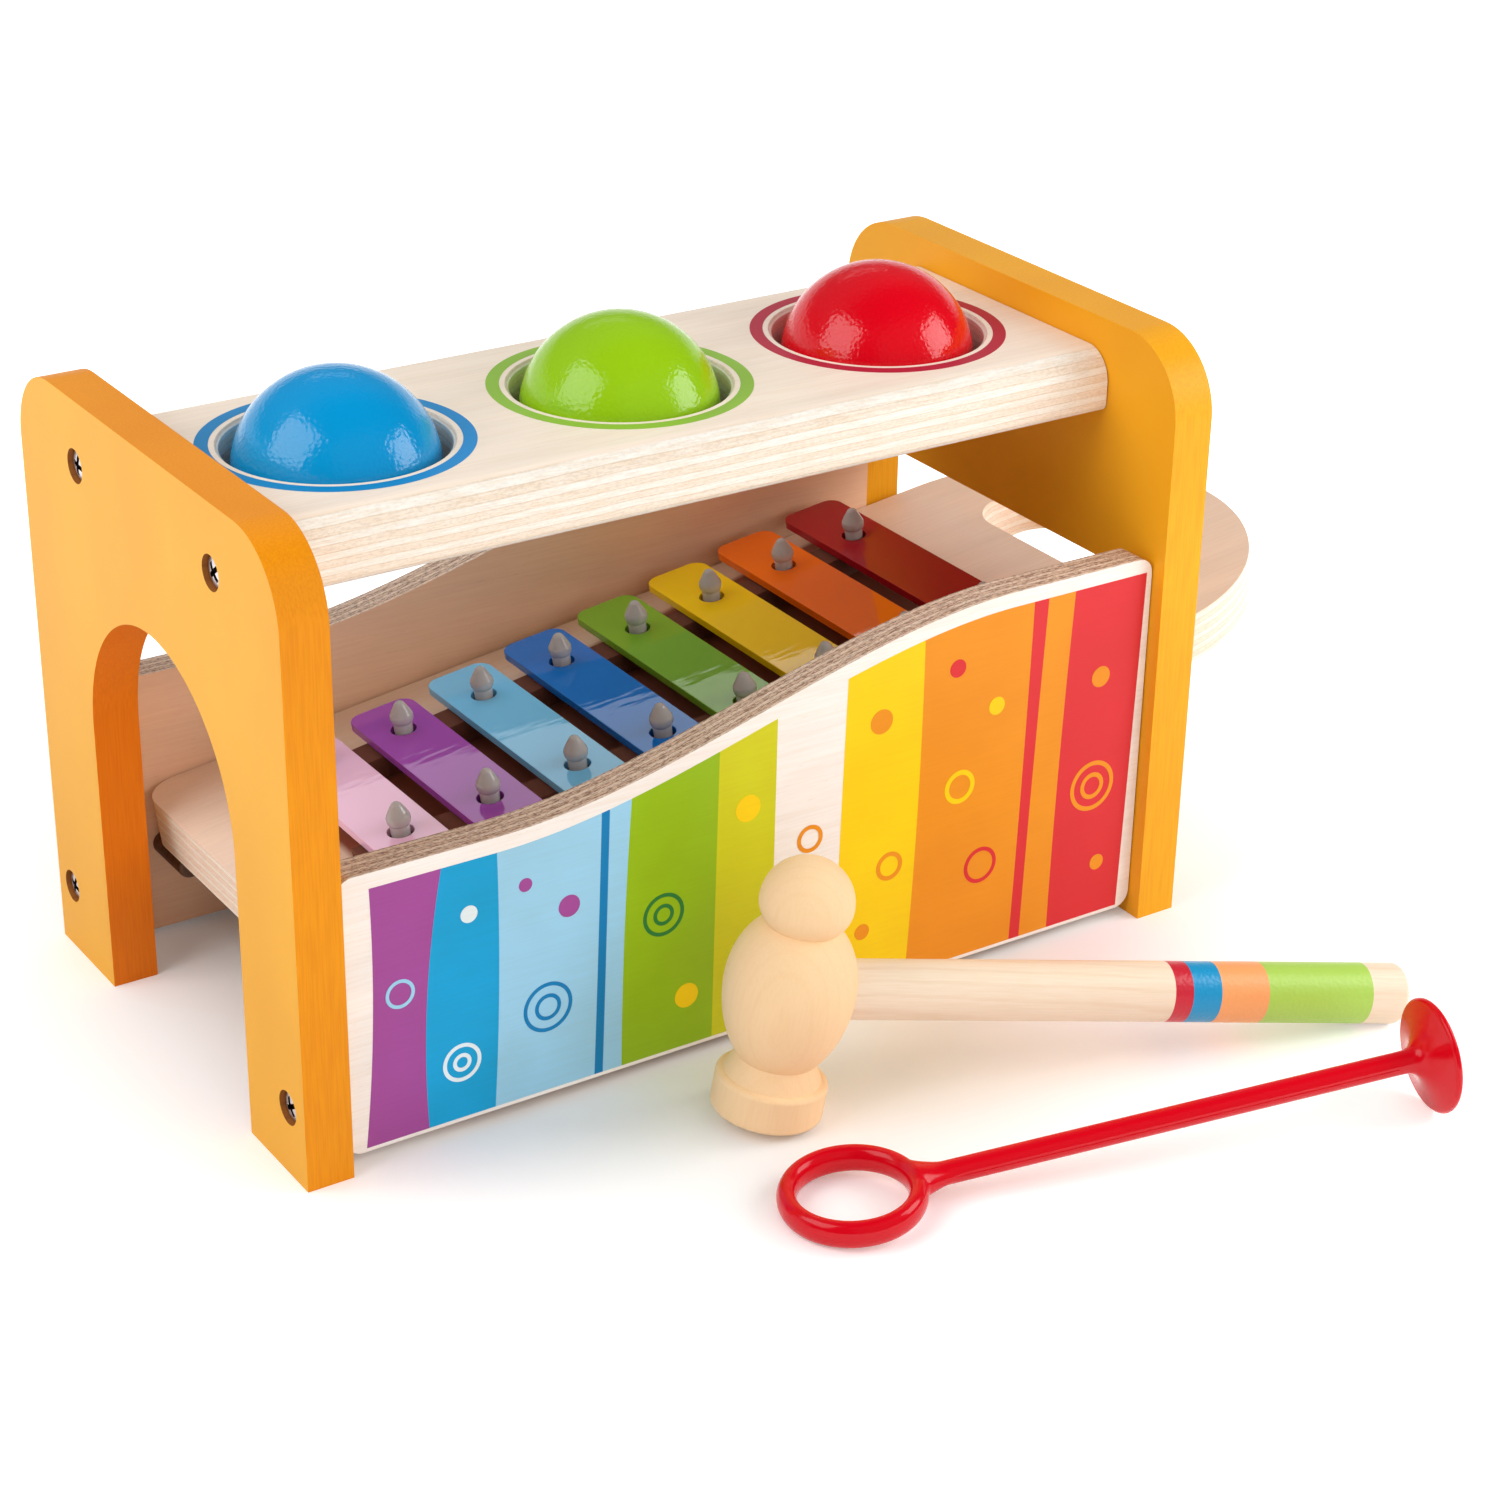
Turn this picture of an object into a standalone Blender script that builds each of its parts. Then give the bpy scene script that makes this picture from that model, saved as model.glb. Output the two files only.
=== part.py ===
"""Xylophone pounding bench: three balls are hammered through the top board and drop onto a xylophone
that slides out at the right, with the hammer and the xylophone beater lying in front of it.

Metres, +Z up. The bench is modelled about the middle of its own floor rectangle, with its length along
X and its printed panel facing -Y. The whole set then moves so that the middle of its box stands on
the origin.
"""

import math

import bmesh
import bpy
import numpy as np
from mathutils import Matrix, Vector

MM = 0.001
QUARTER_TURN = math.radians(90)

# Clearances, and how finely round shapes are cut
FIT_GAP = 0.3 * MM
RUNNING_GAP = 0.5 * MM
CUT_OVERRUN = 5 * MM
WELD_DISTANCE = 0.01 * MM
CORNER_STEPS = 5
ROUND_STEPS = 12
HOLE_STEPS = 32
BALL_STEPS = 24
POST_STEPS = 8
HEAD_STEPS = 28
SWELLING_STEPS = 6
EGG_STEPS = 4
COARSE_SEGMENTS = 1
MEDIUM_SEGMENTS = 2
FINE_SEGMENTS = 3
SHARP_ANGLE = math.radians(35)

# Bench frame
BENCH_LENGTH = 231.4 * MM
BENCH_DEPTH = 128 * MM
BENCH_HEIGHT = 143.3 * MM
SIDE_THICKNESS = 10.7 * MM
SIDE_CORNER_RADIUS = 18 * MM
SIDE_EDGE_RADIUS = 1.6 * MM
SIDE_INNER_FACE = BENCH_LENGTH / 2 - SIDE_THICKNESS
ARCH_WIDTH = 72 * MM
ARCH_DROP = 41.3 * MM
ARCH_HEIGHT = BENCH_HEIGHT - ARCH_DROP
ARCH_OFFSET = -1.1 * MM
WINDOW_WIDTH = 108 * MM
WINDOW_CLEARANCE = 1.8 * MM
WINDOW_CORNER_RADIUS = 4 * MM

# Pounding board, its balls and the soft rings that hold them
BOARD_DEPTH = 80 * MM
BOARD_THICKNESS = 14.3 * MM
BOARD_DROP = 7.2 * MM
BOARD_TOP_EDGE_RADIUS = 7.5 * MM
BOARD_LOWER_EDGE_RADIUS = 2 * MM
BALL_RADIUS = 22.5 * MM
BALL_PITCH_SHARE = 0.6629
BALL_ROW_OFFSET = -1.2 * MM
BALL_PROUD = 15.8 * MM
BALL_HOLE_CLEARANCE = 2.1 * MM
HOLE_CHAMFER = 0.8 * MM
RING_HEIGHT = 2.5 * MM
RING_SEAT_WIDTH = 2.4 * MM
BOARD_TOP = BENCH_HEIGHT - BOARD_DROP
BOARD_BOTTOM = BOARD_TOP - BOARD_THICKNESS
BALL_PITCH = SIDE_INNER_FACE * BALL_PITCH_SHARE
BALL_HEIGHT = BOARD_TOP + BALL_PROUD - BALL_RADIUS
BALL_HOLE_RADIUS = BALL_RADIUS + BALL_HOLE_CLEARANCE
RING_OUTER_RADIUS = BALL_HOLE_RADIUS + RING_SEAT_WIDTH

# Front and back panels
PANEL_THICKNESS = 8 * MM
PANEL_SETBACK = 3.8 * MM
PANEL_LOW_HEIGHT = 65.5 * MM
PANEL_RISE = 25 * MM
PANEL_WAVE_LENGTH = 134 * MM
PANEL_WAVE_OFFSET = -1 * MM
PANEL_WAVE_STEPS = 14
PANEL_CORNER_RADIUS = 4 * MM
PANEL_EDGE_RADIUS = 0.9 * MM
FRONT_PANEL_LIFT = 2.5 * MM
BACK_PANEL_LIFT = 1.7 * MM
PANEL_MIDDLE = BENCH_DEPTH / 2 - PANEL_SETBACK - PANEL_THICKNESS / 2
PANEL_INNER_FACE = PANEL_MIDDLE - PANEL_THICKNESS / 2

# Screws through the side panels, and the dowels that keep the low panels from turning
SCREW_HEAD_RADIUS = 3.4 * MM
SCREW_HEAD_HEIGHT = 2 * MM
SCREW_HEAD_DOME = 0.5 * MM
SCREW_SHANK_RADIUS = 1.75 * MM
SCREW_TIP_LENGTH = 3 * MM
SCREW_LENGTH = 20 * MM
SCREW_RECESS = 1.1 * MM
SCREW_STEPS = 12
CROSS_WIDTH = 1.1 * MM
CROSS_SPAN = 3.8 * MM
CROSS_DEPTH = 1.2 * MM
BOARD_SCREW_SPACING = 67.3 * MM
BOARD_SCREW_DROP = 8.1 * MM
BOARD_SCREW_HEIGHT = BOARD_TOP - BOARD_SCREW_DROP
PANEL_SCREW_HEIGHT = 16.5 * MM
DOWEL_RADIUS = 2.5 * MM
DOWEL_LENGTH = 22 * MM
DOWEL_SIDE_DEPTH = 7 * MM
DOWEL_HEIGHT = 40 * MM

# Xylophone: distances along it are measured up its slope from the middle of the bench
SLOPE = math.radians(7.8)
DECK_HEIGHT = 52.7 * MM
DECK_THICKNESS = 12.1 * MM
DECK_LEFT_GAP = 5 * MM
DECK_LEFT_REACH = SIDE_INNER_FACE - DECK_LEFT_GAP
DECK_CORNER_RADIUS = 8 * MM
DECK_EDGE_RADIUS = 4.5 * MM
DECK_WIDTH = 2 * (PANEL_INNER_FACE - RUNNING_GAP)
DECK_END_LENGTH = DECK_WIDTH / 2
SLOT_GAP = 6.5 * MM
SLOT_REACH = BENCH_LENGTH / 2 + SLOT_GAP
SLOT_LENGTH = 25.5 * MM
PULL_BAR_WIDTH = 25.1 * MM
DECK_RIGHT_REACH = SLOT_REACH + SLOT_LENGTH + PULL_BAR_WIDTH
SLOT_WIDTH = 62.2 * MM
SLOT_CORNER_RADIUS = 10 * MM
KEY_COLOURS = ("pink", "purple", "sky_blue", "blue", "green", "yellow", "orange", "red")
KEY_END_MARGIN = 31.8 * MM
KEY_START = KEY_END_MARGIN - DECK_LEFT_REACH
KEY_PITCH_SHARE = 0.2081
KEY_PITCH = SIDE_INNER_FACE * KEY_PITCH_SHARE
KEY_WIDTH = 16.4 * MM
KEY_SHORTEST = 62.3 * MM
KEY_LENGTH_STEP = 4.75 * MM
KEY_THICKNESS = 2 * MM
KEY_CORNER_RADIUS = 3.5 * MM
KEY_TOP = 8.2 * MM
KEY_HOLE_RADIUS = 3 * MM
POST_ROW_START = 19.1 * MM
POST_ROW_STEP = 1.12 * MM
RAIL_WIDTH = 8 * MM
RAIL_OVERHANG = 2 * MM
POST_SHANK_RADIUS = 2.1 * MM
POST_HEAD_RADIUS = 2.75 * MM
POST_HEAD_HEIGHT = 7.3 * MM
POST_COLLAR_HEIGHT = 1.9 * MM
POST_DEPTH = 8 * MM
POST_EGG_SHARE = 0.28
PEG_RADIUS = 3 * MM
PEG_REACH = 14.9 * MM
PEG_SEAT_DEPTH = 5 * MM
PEG_END_ROUND = 0.8 * MM
PEG_INSET = 11.2 * MM
PEG_PLACE = PEG_INSET - SIDE_INNER_FACE

# Hammer: heights run up its head from the base, distances run along its handle from the head's axis
HAMMER_PLACE = (-7.6 * MM, -92.8 * MM)
HAMMER_TURN = math.radians(-16)
HAMMER_BASE_RADIUS = 12.3 * MM
HAMMER_BASE_HEIGHT = 8.8 * MM
HAMMER_NECK_RADIUS = 8.7 * MM
HAMMER_NECK_HEIGHT = 13.2 * MM
HAMMER_BULB_RADIUS = 14.3 * MM
HAMMER_BULB_HEIGHT = 30.2 * MM
HAMMER_UPPER_NECK_RADIUS = 8 * MM
HAMMER_UPPER_NECK_HEIGHT = 44.8 * MM
HAMMER_CAP_RADIUS = 10.2 * MM
HAMMER_CAP_HEIGHT = 49.9 * MM
HAMMER_TOP = 60 * MM
HANDLE_HEIGHT = 29.3 * MM
HANDLE_REACH = 147.4 * MM
HANDLE_RADIUS = 6.5 * MM
HANDLE_END_RADIUS = 6.97 * MM
HANDLE_END_ROUND = 2 * MM
HANDLE_TENON = 7 * MM
HANDLE_STEPS = 20

# Beater: a ring that lies down, a rod, and a round disc that stands on its edge
BEATER_PLACE = (-24.2 * MM, -129.2 * MM)
BEATER_TURN = math.radians(-14.4)
BEATER_LENGTH = 133.5 * MM
BEATER_RING_RADIUS = 13.6 * MM
BEATER_RING_WIDTH = 4.3 * MM
BEATER_RING_HEIGHT = 6.2 * MM
BEATER_ROD_RADIUS = 2.6 * MM
BEATER_FLARE_RADIUS = 3.1 * MM
BEATER_FLARE_LENGTH = 7 * MM
BEATER_DISC_RADIUS = 12.9 * MM
BEATER_DISC_THICKNESS = 1.8 * MM
BEATER_HORN_LENGTH = 8 * MM
BEATER_HORN_DEPTH = 1.2 * MM
BEATER_ROD_STEPS = 12
BEATER_DISC_STEPS = 28
BEATER_RING_STEPS = 28

# Finishes: colour, roughness and metallic value
FINISHES = {
    "yellow_paint": ("F9AB1F", 0.45, 0),
    "birch_plywood": ("F3DCBE", 0.55, 0),
    "turned_beech": ("F6D9AC", 0.5, 0),
    "blue_lacquer": ("0199D9", 0.15, 0),
    "green_lacquer": ("94C419", 0.15, 0),
    "red_lacquer": ("E3051D", 0.15, 0),
    "soft_ring": ("2B2623", 0.8, 0),
    "screw_steel": ("A9A6A1", 0.3, 1),
    "peg_wood": ("5A3A26", 0.6, 0),
    "rail_felt": ("2A211D", 0.9, 0),
    "post_plastic": ("A29698", 0.3, 0),
    "red_plastic": ("DD0A1C", 0.15, 0),
    "key_pink": ("E5B4D2", 0.2, 0.2),
    "key_purple": ("8E4FA0", 0.2, 0.2),
    "key_sky_blue": ("5FB4DE", 0.2, 0.2),
    "key_blue": ("1E78C0", 0.2, 0.2),
    "key_green": ("6A9A3C", 0.2, 0.2),
    "key_yellow": ("E6BD10", 0.2, 0.2),
    "key_orange": ("E06A20", 0.2, 0.2),
    "key_red": ("8A1D21", 0.2, 0.2),
}


# Scene and object helpers


def clear_scene():
    """Removes every object of the open scene."""
    for thing in list(bpy.data.objects):
        bpy.data.objects.remove(thing, do_unlink=True)


def new_collection(name):
    """Adds a collection to the scene."""
    collection = bpy.data.collections.new(name)
    bpy.context.scene.collection.children.link(collection)
    return collection


def new_empty(name, collection, parent=None):
    """Adds an empty that carries other objects."""
    empty = bpy.data.objects.new(name, None)
    empty.empty_display_size = BALL_RADIUS
    empty.parent = parent
    collection.objects.link(empty)
    return empty


def linear(value):
    """Turns one sRGB channel into the linear value that a shader takes."""
    return value / 12.92 if value <= 0.04045 else ((value + 0.055) / 1.055) ** 2.4


def new_material(finish):
    """Returns the material of a named finish, making it when it is first asked for."""
    if finish in bpy.data.materials:
        return bpy.data.materials[finish]
    colour, roughness, metallic = FINISHES[finish]
    channels = [linear(int(colour[i : i + 2], 16) / 255) for i in (0, 2, 4)]
    material = bpy.data.materials.new(finish)
    material.use_nodes = True
    shader = material.node_tree.nodes["Principled BSDF"]
    shader.inputs["Base Color"].default_value = (*channels, 1)
    shader.inputs["Roughness"].default_value = roughness
    shader.inputs["Metallic"].default_value = metallic
    material.diffuse_color = (*channels, 1)
    return material


def new_object(name, data, collection, parent=None, location=(0, 0, 0), rotation=(0, 0, 0)):
    """Adds an object to a collection and places it under its parent."""
    thing = bpy.data.objects.new(name, data)
    thing.parent = parent
    thing.location = location
    thing.rotation_euler = rotation
    collection.objects.link(thing)
    return thing


def finish_piece(piece, finish):
    """Gives a piece its material and shades its round faces smooth."""
    piece.data.materials.clear()
    piece.data.materials.append(new_material(finish))
    piece.data.shade_smooth()
    piece.data.set_sharp_from_angle(angle=SHARP_ANGLE)
    return piece


def evaluated_mesh(thing):
    """Returns a new mesh of the object with its modifiers applied."""
    bpy.context.view_layer.update()
    graph = bpy.context.evaluated_depsgraph_get()
    return bpy.data.meshes.new_from_object(thing.evaluated_get(graph))


def applied(thing):
    """Replaces the object's mesh with its evaluated one, and drops its modifiers."""
    mesh = evaluated_mesh(thing)
    thing.modifiers.clear()
    thing.data = mesh
    return thing


# Outlines


def arc(centre, radii, start, end, steps):
    """Returns points along an elliptical arc, from one angle to another, both ends included."""
    angles = [start + (end - start) * step / steps for step in range(steps + 1)]
    return [
        (centre[0] + radii[0] * math.cos(angle), centre[1] + radii[1] * math.sin(angle))
        for angle in angles
    ]


def circle(centre, radius, steps):
    """Returns the points of a full circle."""
    return arc(centre, (radius, radius), 0, 2 * math.pi * (steps - 1) / steps, steps - 1)


def rounded(corners):
    """Returns the closed outline through corners of (x, y, radius), each rounded by its radius."""
    points = []
    for index, (x, y, radius) in enumerate(corners):
        corner = Vector((x, y))
        if radius == 0:
            points.append(corner)
            continue
        back = (Vector(corners[index - 1][:2]) - corner).normalized()
        ahead = (Vector(corners[(index + 1) % len(corners)][:2]) - corner).normalized()
        half_angle = back.angle(ahead) / 2
        centre = corner + (back + ahead).normalized() * radius / math.sin(half_angle)
        spoke = corner + back * radius / math.tan(half_angle) - centre
        turn = math.copysign(math.pi - 2 * half_angle, -back.cross(ahead))
        for step in range(CORNER_STEPS + 1):
            points.append(centre + Matrix.Rotation(turn * step / CORNER_STEPS, 2) @ spoke)
    return [tuple(point) for point in points]


def rectangle(centre, size, radius):
    """Returns a rectangle with round corners, counter-clockwise."""
    x, y = size[0] / 2, size[1] / 2
    signs = ((-1, -1), (1, -1), (1, 1), (-1, 1))
    return rounded([(centre[0] + sx * x, centre[1] + sy * y, radius) for sx, sy in signs])


def plate(name, outlines, thickness, collection, **place):
    """Makes a flat plate of a 2D outline, with its holes, centred on its own middle plane."""
    curve = bpy.data.curves.new(name, "CURVE")
    curve.dimensions = "2D"
    curve.fill_mode = "BOTH"
    curve.extrude = thickness / 2
    for outline in outlines:
        spline = curve.splines.new("POLY")
        spline.points.add(len(outline) - 1)
        spline.use_cyclic_u = True
        for point, (x, y) in zip(spline.points, outline):
            point.co = (x, y, 0, 1)
    guide = new_object(name + "_outline", curve, collection)
    mesh = evaluated_mesh(guide)
    bpy.data.objects.remove(guide)
    bpy.data.curves.remove(curve)
    welded = bmesh.new()
    welded.from_mesh(mesh)
    bmesh.ops.remove_doubles(welded, verts=welded.verts, dist=WELD_DISTANCE)
    bmesh.ops.recalc_face_normals(welded, faces=welded.faces)
    welded.to_mesh(mesh)
    welded.free()
    return new_object(name, mesh, collection, **place)


def round_edges(piece, radius, segments=MEDIUM_SEGMENTS):
    """Rounds the sharp edges of a piece."""
    bevel = piece.modifiers.new("round_edges", "BEVEL")
    bevel.width = radius
    bevel.segments = segments
    bevel.limit_method = "ANGLE"
    bevel.angle_limit = SHARP_ANGLE
    return piece


def turned(name, profile, steps, collection, **place):
    """Turns a profile of (radius, height) points, listed from top to bottom, about the local Z axis."""
    mesh = bpy.data.meshes.new(name)
    edges = [(index, index + 1) for index in range(len(profile) - 1)]
    mesh.from_pydata([(radius, 0, height) for radius, height in profile], edges, [])
    piece = new_object(name, mesh, collection, **place)
    screw = piece.modifiers.new("turn", "SCREW")
    screw.steps = steps
    screw.render_steps = steps
    screw.use_merge_vertices = True
    screw.merge_threshold = WELD_DISTANCE
    return piece


# Cutters


def as_cutter(thing):
    """Marks an object as one that only cuts others."""
    thing.hide_render = True
    thing.display_type = "WIRE"
    return thing


def combine(piece, other, operation="DIFFERENCE"):
    """Cuts one object from a piece, or joins it to the piece."""
    boolean = piece.modifiers.new(other.name, "BOOLEAN")
    boolean.operation = operation
    boolean.solver = "EXACT"
    boolean.object = other


def drill(name, places, radius, depth, steps, cutters, parent):
    """Makes one cutter of upright round holes of one depth below its parent's own plane."""
    mesh = bpy.data.meshes.new(name)
    drills = bmesh.new()
    for x, y in places:
        height = depth + CUT_OVERRUN
        bmesh.ops.create_cone(
            drills,
            cap_ends=True,
            segments=steps,
            radius1=radius,
            radius2=radius,
            depth=height,
            matrix=Matrix.Translation((x, y, CUT_OVERRUN - height / 2)),
        )
    drills.to_mesh(mesh)
    drills.free()
    return as_cutter(new_object(name, mesh, cutters, parent))


def rod_cutter(name, radius, length, steps, cutters, parent, location, rotation):
    """Makes a round cutter centred on its location, along its own Z axis."""
    profile = [(0, length / 2), (radius, length / 2), (radius, -length / 2), (0, -length / 2)]
    place = {"parent": parent, "location": location, "rotation": rotation}
    return as_cutter(turned(name, profile, steps, cutters, **place))


# Places that several pieces share

ALONG_X = (0, QUARTER_TURN, 0)
ALONG_Y = (QUARTER_TURN, 0, 0)
SIDES = {"left": -1, "right": 1}
FACES = {"front": -1, "back": 1}
PANEL_LIFTS = {"front": FRONT_PANEL_LIFT, "back": BACK_PANEL_LIFT}


def deck_top(x):
    """Returns the height of the xylophone board's top face above the floor at a place along X."""
    return DECK_HEIGHT + x * math.tan(SLOPE)


def deck_underside(x):
    """Returns the height of the xylophone board's lower face above the floor at a place along X."""
    return deck_top(x) - DECK_THICKNESS / math.cos(SLOPE)


def window_top():
    """Returns the height of the window's top edge, which the key posts pass under as the board slides."""
    keys_above_deck = (KEY_TOP + POST_HEAD_HEIGHT) / math.cos(SLOPE)
    return deck_top(BENCH_LENGTH / 2) + keys_above_deck + WINDOW_CLEARANCE


def key_place(index):
    """Returns how far up the slope a key lies."""
    return KEY_START + KEY_PITCH * index


def post_places(index):
    """Returns the places of the two posts of a key, front first, on the xylophone board's top face."""
    side = POST_ROW_START + POST_ROW_STEP * index
    return {"front": (key_place(index), -side), "back": (key_place(index), side)}


def ball_place(index):
    """Returns where a ball's hole lies along X."""
    return BALL_ROW_OFFSET + BALL_PITCH * (index - 1)


def screw_places(side):
    """Returns the names and places of a side panel's four screws on its outer face."""
    x = SIDES[side] * BENCH_LENGTH / 2
    places = {}
    for face, sign in FACES.items():
        places[f"{face}_upper"] = (x, sign * BOARD_SCREW_SPACING / 2, BOARD_SCREW_HEIGHT)
        places[f"{face}_lower"] = (x, sign * PANEL_MIDDLE, PANEL_SCREW_HEIGHT)
    return places


def dowel_place(side, face):
    """Returns the middle of a dowel between a side panel and a low panel."""
    reach = SIDE_INNER_FACE + DOWEL_SIDE_DEPTH - DOWEL_LENGTH / 2
    return (SIDES[side] * reach, FACES[face] * PANEL_MIDDLE, DOWEL_HEIGHT)


# Bench frame pieces


def side_panel_outline():
    """Returns the corners of a side panel above its feet, from the front foot over the top."""
    half = BENCH_DEPTH / 2
    return [
        (-half, 0, 0),
        (-half, BENCH_HEIGHT, SIDE_CORNER_RADIUS),
        (half, BENCH_HEIGHT, SIDE_CORNER_RADIUS),
        (half, 0, 0),
    ]


def make_left_panel(parts, root):
    """Makes the left side panel, with the arch that the balls roll out through."""
    radius = ARCH_WIDTH / 2
    spring = ARCH_HEIGHT - radius
    outline = rounded(side_panel_outline())
    outline += [(ARCH_OFFSET + radius, 0)]
    outline += arc((ARCH_OFFSET, spring), (radius, radius), 0, math.pi, 2 * ROUND_STEPS)
    outline += [(ARCH_OFFSET - radius, 0)]
    return side_plate("left", [outline], parts, root)


def make_right_panel(parts, root):
    """Makes the right side panel, with the window whose sill carries the xylophone."""
    sill = deck_underside(SIDE_INNER_FACE) - FIT_GAP
    top = window_top()
    window = rectangle((0, (top + sill) / 2), (WINDOW_WIDTH, top - sill), WINDOW_CORNER_RADIUS)
    return side_plate("right", [rounded(side_panel_outline()), window], parts, root)


def side_plate(side, outlines, parts, root):
    """Stands a side panel's plate at its end of the bench and rounds its edges."""
    panel = plate(
        f"{side}_side_panel",
        outlines,
        SIDE_THICKNESS,
        parts,
        parent=root,
        location=(SIDES[side] * (BENCH_LENGTH - SIDE_THICKNESS) / 2, 0, 0),
        rotation=(QUARTER_TURN, 0, QUARTER_TURN),
    )
    return round_edges(panel, SIDE_EDGE_RADIUS)


def make_pounding_board(parts, root):
    """Makes the board that the balls are hammered through."""
    half = BOARD_DEPTH / 2
    outline = rounded(
        [
            (-half, BOARD_BOTTOM, BOARD_LOWER_EDGE_RADIUS),
            (half, BOARD_BOTTOM, BOARD_LOWER_EDGE_RADIUS),
            (half, BOARD_TOP, BOARD_TOP_EDGE_RADIUS),
            (-half, BOARD_TOP, BOARD_TOP_EDGE_RADIUS),
        ]
    )
    return plate(
        "pounding_board",
        [outline],
        2 * (SIDE_INNER_FACE - FIT_GAP),
        parts,
        parent=root,
        rotation=(QUARTER_TURN, 0, QUARTER_TURN),
    )


def cut_ball_holes(board, cutters, root):
    """Cuts the three ball holes, each with a seat for its soft ring in the underside."""
    profile = [
        (0, BOARD_TOP + CUT_OVERRUN),
        (BALL_HOLE_RADIUS + HOLE_CHAMFER + CUT_OVERRUN, BOARD_TOP + CUT_OVERRUN),
        (BALL_HOLE_RADIUS, BOARD_TOP - HOLE_CHAMFER),
        (BALL_HOLE_RADIUS, BOARD_BOTTOM + RING_HEIGHT + FIT_GAP),
        (RING_OUTER_RADIUS + FIT_GAP, BOARD_BOTTOM + RING_HEIGHT + FIT_GAP),
        (RING_OUTER_RADIUS + FIT_GAP, BOARD_BOTTOM - CUT_OVERRUN),
        (0, BOARD_BOTTOM - CUT_OVERRUN),
    ]
    for index in range(len(BALLS)):
        place = {"parent": root, "location": (ball_place(index), 0, 0)}
        cutter = turned(f"ball_hole_{index}_cutter", profile, HOLE_STEPS, cutters, **place)
        combine(board, as_cutter(cutter))


def wave_outline(lift):
    """Returns the outline of a low panel, whose top edge rises in one smooth wave to the right."""
    half = SIDE_INNER_FACE - FIT_GAP
    low = lift + PANEL_LOW_HEIGHT
    start = PANEL_WAVE_OFFSET - PANEL_WAVE_LENGTH / 2
    wave = []
    for step in range(PANEL_WAVE_STEPS + 1):
        share = step / PANEL_WAVE_STEPS
        rise = PANEL_RISE * share * share * (3 - 2 * share)
        wave.append((start + PANEL_WAVE_LENGTH * share, low + rise, 0))
    corners = [
        (half, low + PANEL_RISE, PANEL_CORNER_RADIUS),
        (half, lift, PANEL_CORNER_RADIUS),
        (-half, lift, PANEL_CORNER_RADIUS),
        (-half, low, PANEL_CORNER_RADIUS),
    ]
    return rounded(wave + corners)


def make_low_panel(face, parts, root):
    """Makes the front or the back panel between the side panels."""
    panel = plate(
        f"{face}_panel",
        [wave_outline(PANEL_LIFTS[face])],
        PANEL_THICKNESS,
        parts,
        parent=root,
        location=(0, FACES[face] * PANEL_MIDDLE, 0),
        rotation=ALONG_Y,
    )
    return round_edges(panel, PANEL_EDGE_RADIUS, COARSE_SEGMENTS)


# Screws, dowels and pegs


def make_screws(parts, cutters, root):
    """Makes the eight recessed cross-head screws, which share one mesh."""
    top = -SCREW_RECESS
    under_head = top - SCREW_HEAD_HEIGHT
    tip = top - SCREW_LENGTH
    profile = [
        (0, top),
        (SCREW_HEAD_RADIUS - SCREW_HEAD_DOME, top),
        (SCREW_HEAD_RADIUS, top - SCREW_HEAD_DOME),
        (SCREW_HEAD_RADIUS, under_head),
        (SCREW_SHANK_RADIUS, under_head),
        (SCREW_SHANK_RADIUS, tip + SCREW_TIP_LENGTH),
        (0, tip),
    ]
    pattern = turned("screw_pattern", profile, SCREW_STEPS, cutters)
    wide, thin = CROSS_SPAN / 2, CROSS_WIDTH / 2
    arm = [(wide, -thin), (wide, thin)]
    turns = [Matrix.Rotation(QUARTER_TURN * quarter, 2) for quarter in range(4)]
    inner = (thin, thin)
    cross = [tuple(turn @ Vector(point)) for turn in turns for point in (*arm, inner)]
    depth = CROSS_DEPTH + CUT_OVERRUN
    place = {"location": (0, 0, top - CROSS_DEPTH + depth / 2)}
    combine(pattern, as_cutter(plate("screw_cross_cutter", [cross], depth, cutters, **place)))
    mesh = applied(pattern).data
    bpy.data.objects.remove(pattern)
    for side, sign in SIDES.items():
        for name, place in screw_places(side).items():
            turn = (0, sign * QUARTER_TURN, 0)
            screw = new_object(f"screw_{side}_{name}", mesh, parts, root, place, turn)
            finish_piece(screw, "screw_steel")


def cut_screw_holes(panels, board, low_panels, cutters, root):
    """Cuts each screw's recess and clearance hole, through its side panel into what it holds."""
    under_head = -SCREW_RECESS - SCREW_HEAD_HEIGHT - FIT_GAP
    end = -SCREW_RECESS - SCREW_LENGTH - FIT_GAP
    profile = [
        (0, CUT_OVERRUN),
        (SCREW_HEAD_RADIUS + FIT_GAP, CUT_OVERRUN),
        (SCREW_HEAD_RADIUS + FIT_GAP, under_head),
        (SCREW_SHANK_RADIUS + FIT_GAP, under_head),
        (SCREW_SHANK_RADIUS + FIT_GAP, end),
        (0, end),
    ]
    for side, sign in SIDES.items():
        for name, place in screw_places(side).items():
            where = {"parent": root, "location": place, "rotation": (0, sign * QUARTER_TURN, 0)}
            hole = turned(f"screw_{side}_{name}_cutter", profile, SCREW_STEPS, cutters, **where)
            as_cutter(hole)
            combine(panels[side], hole)
            held = board if name.endswith("upper") else low_panels[name.split("_")[0]]
            combine(held, hole)


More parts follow.
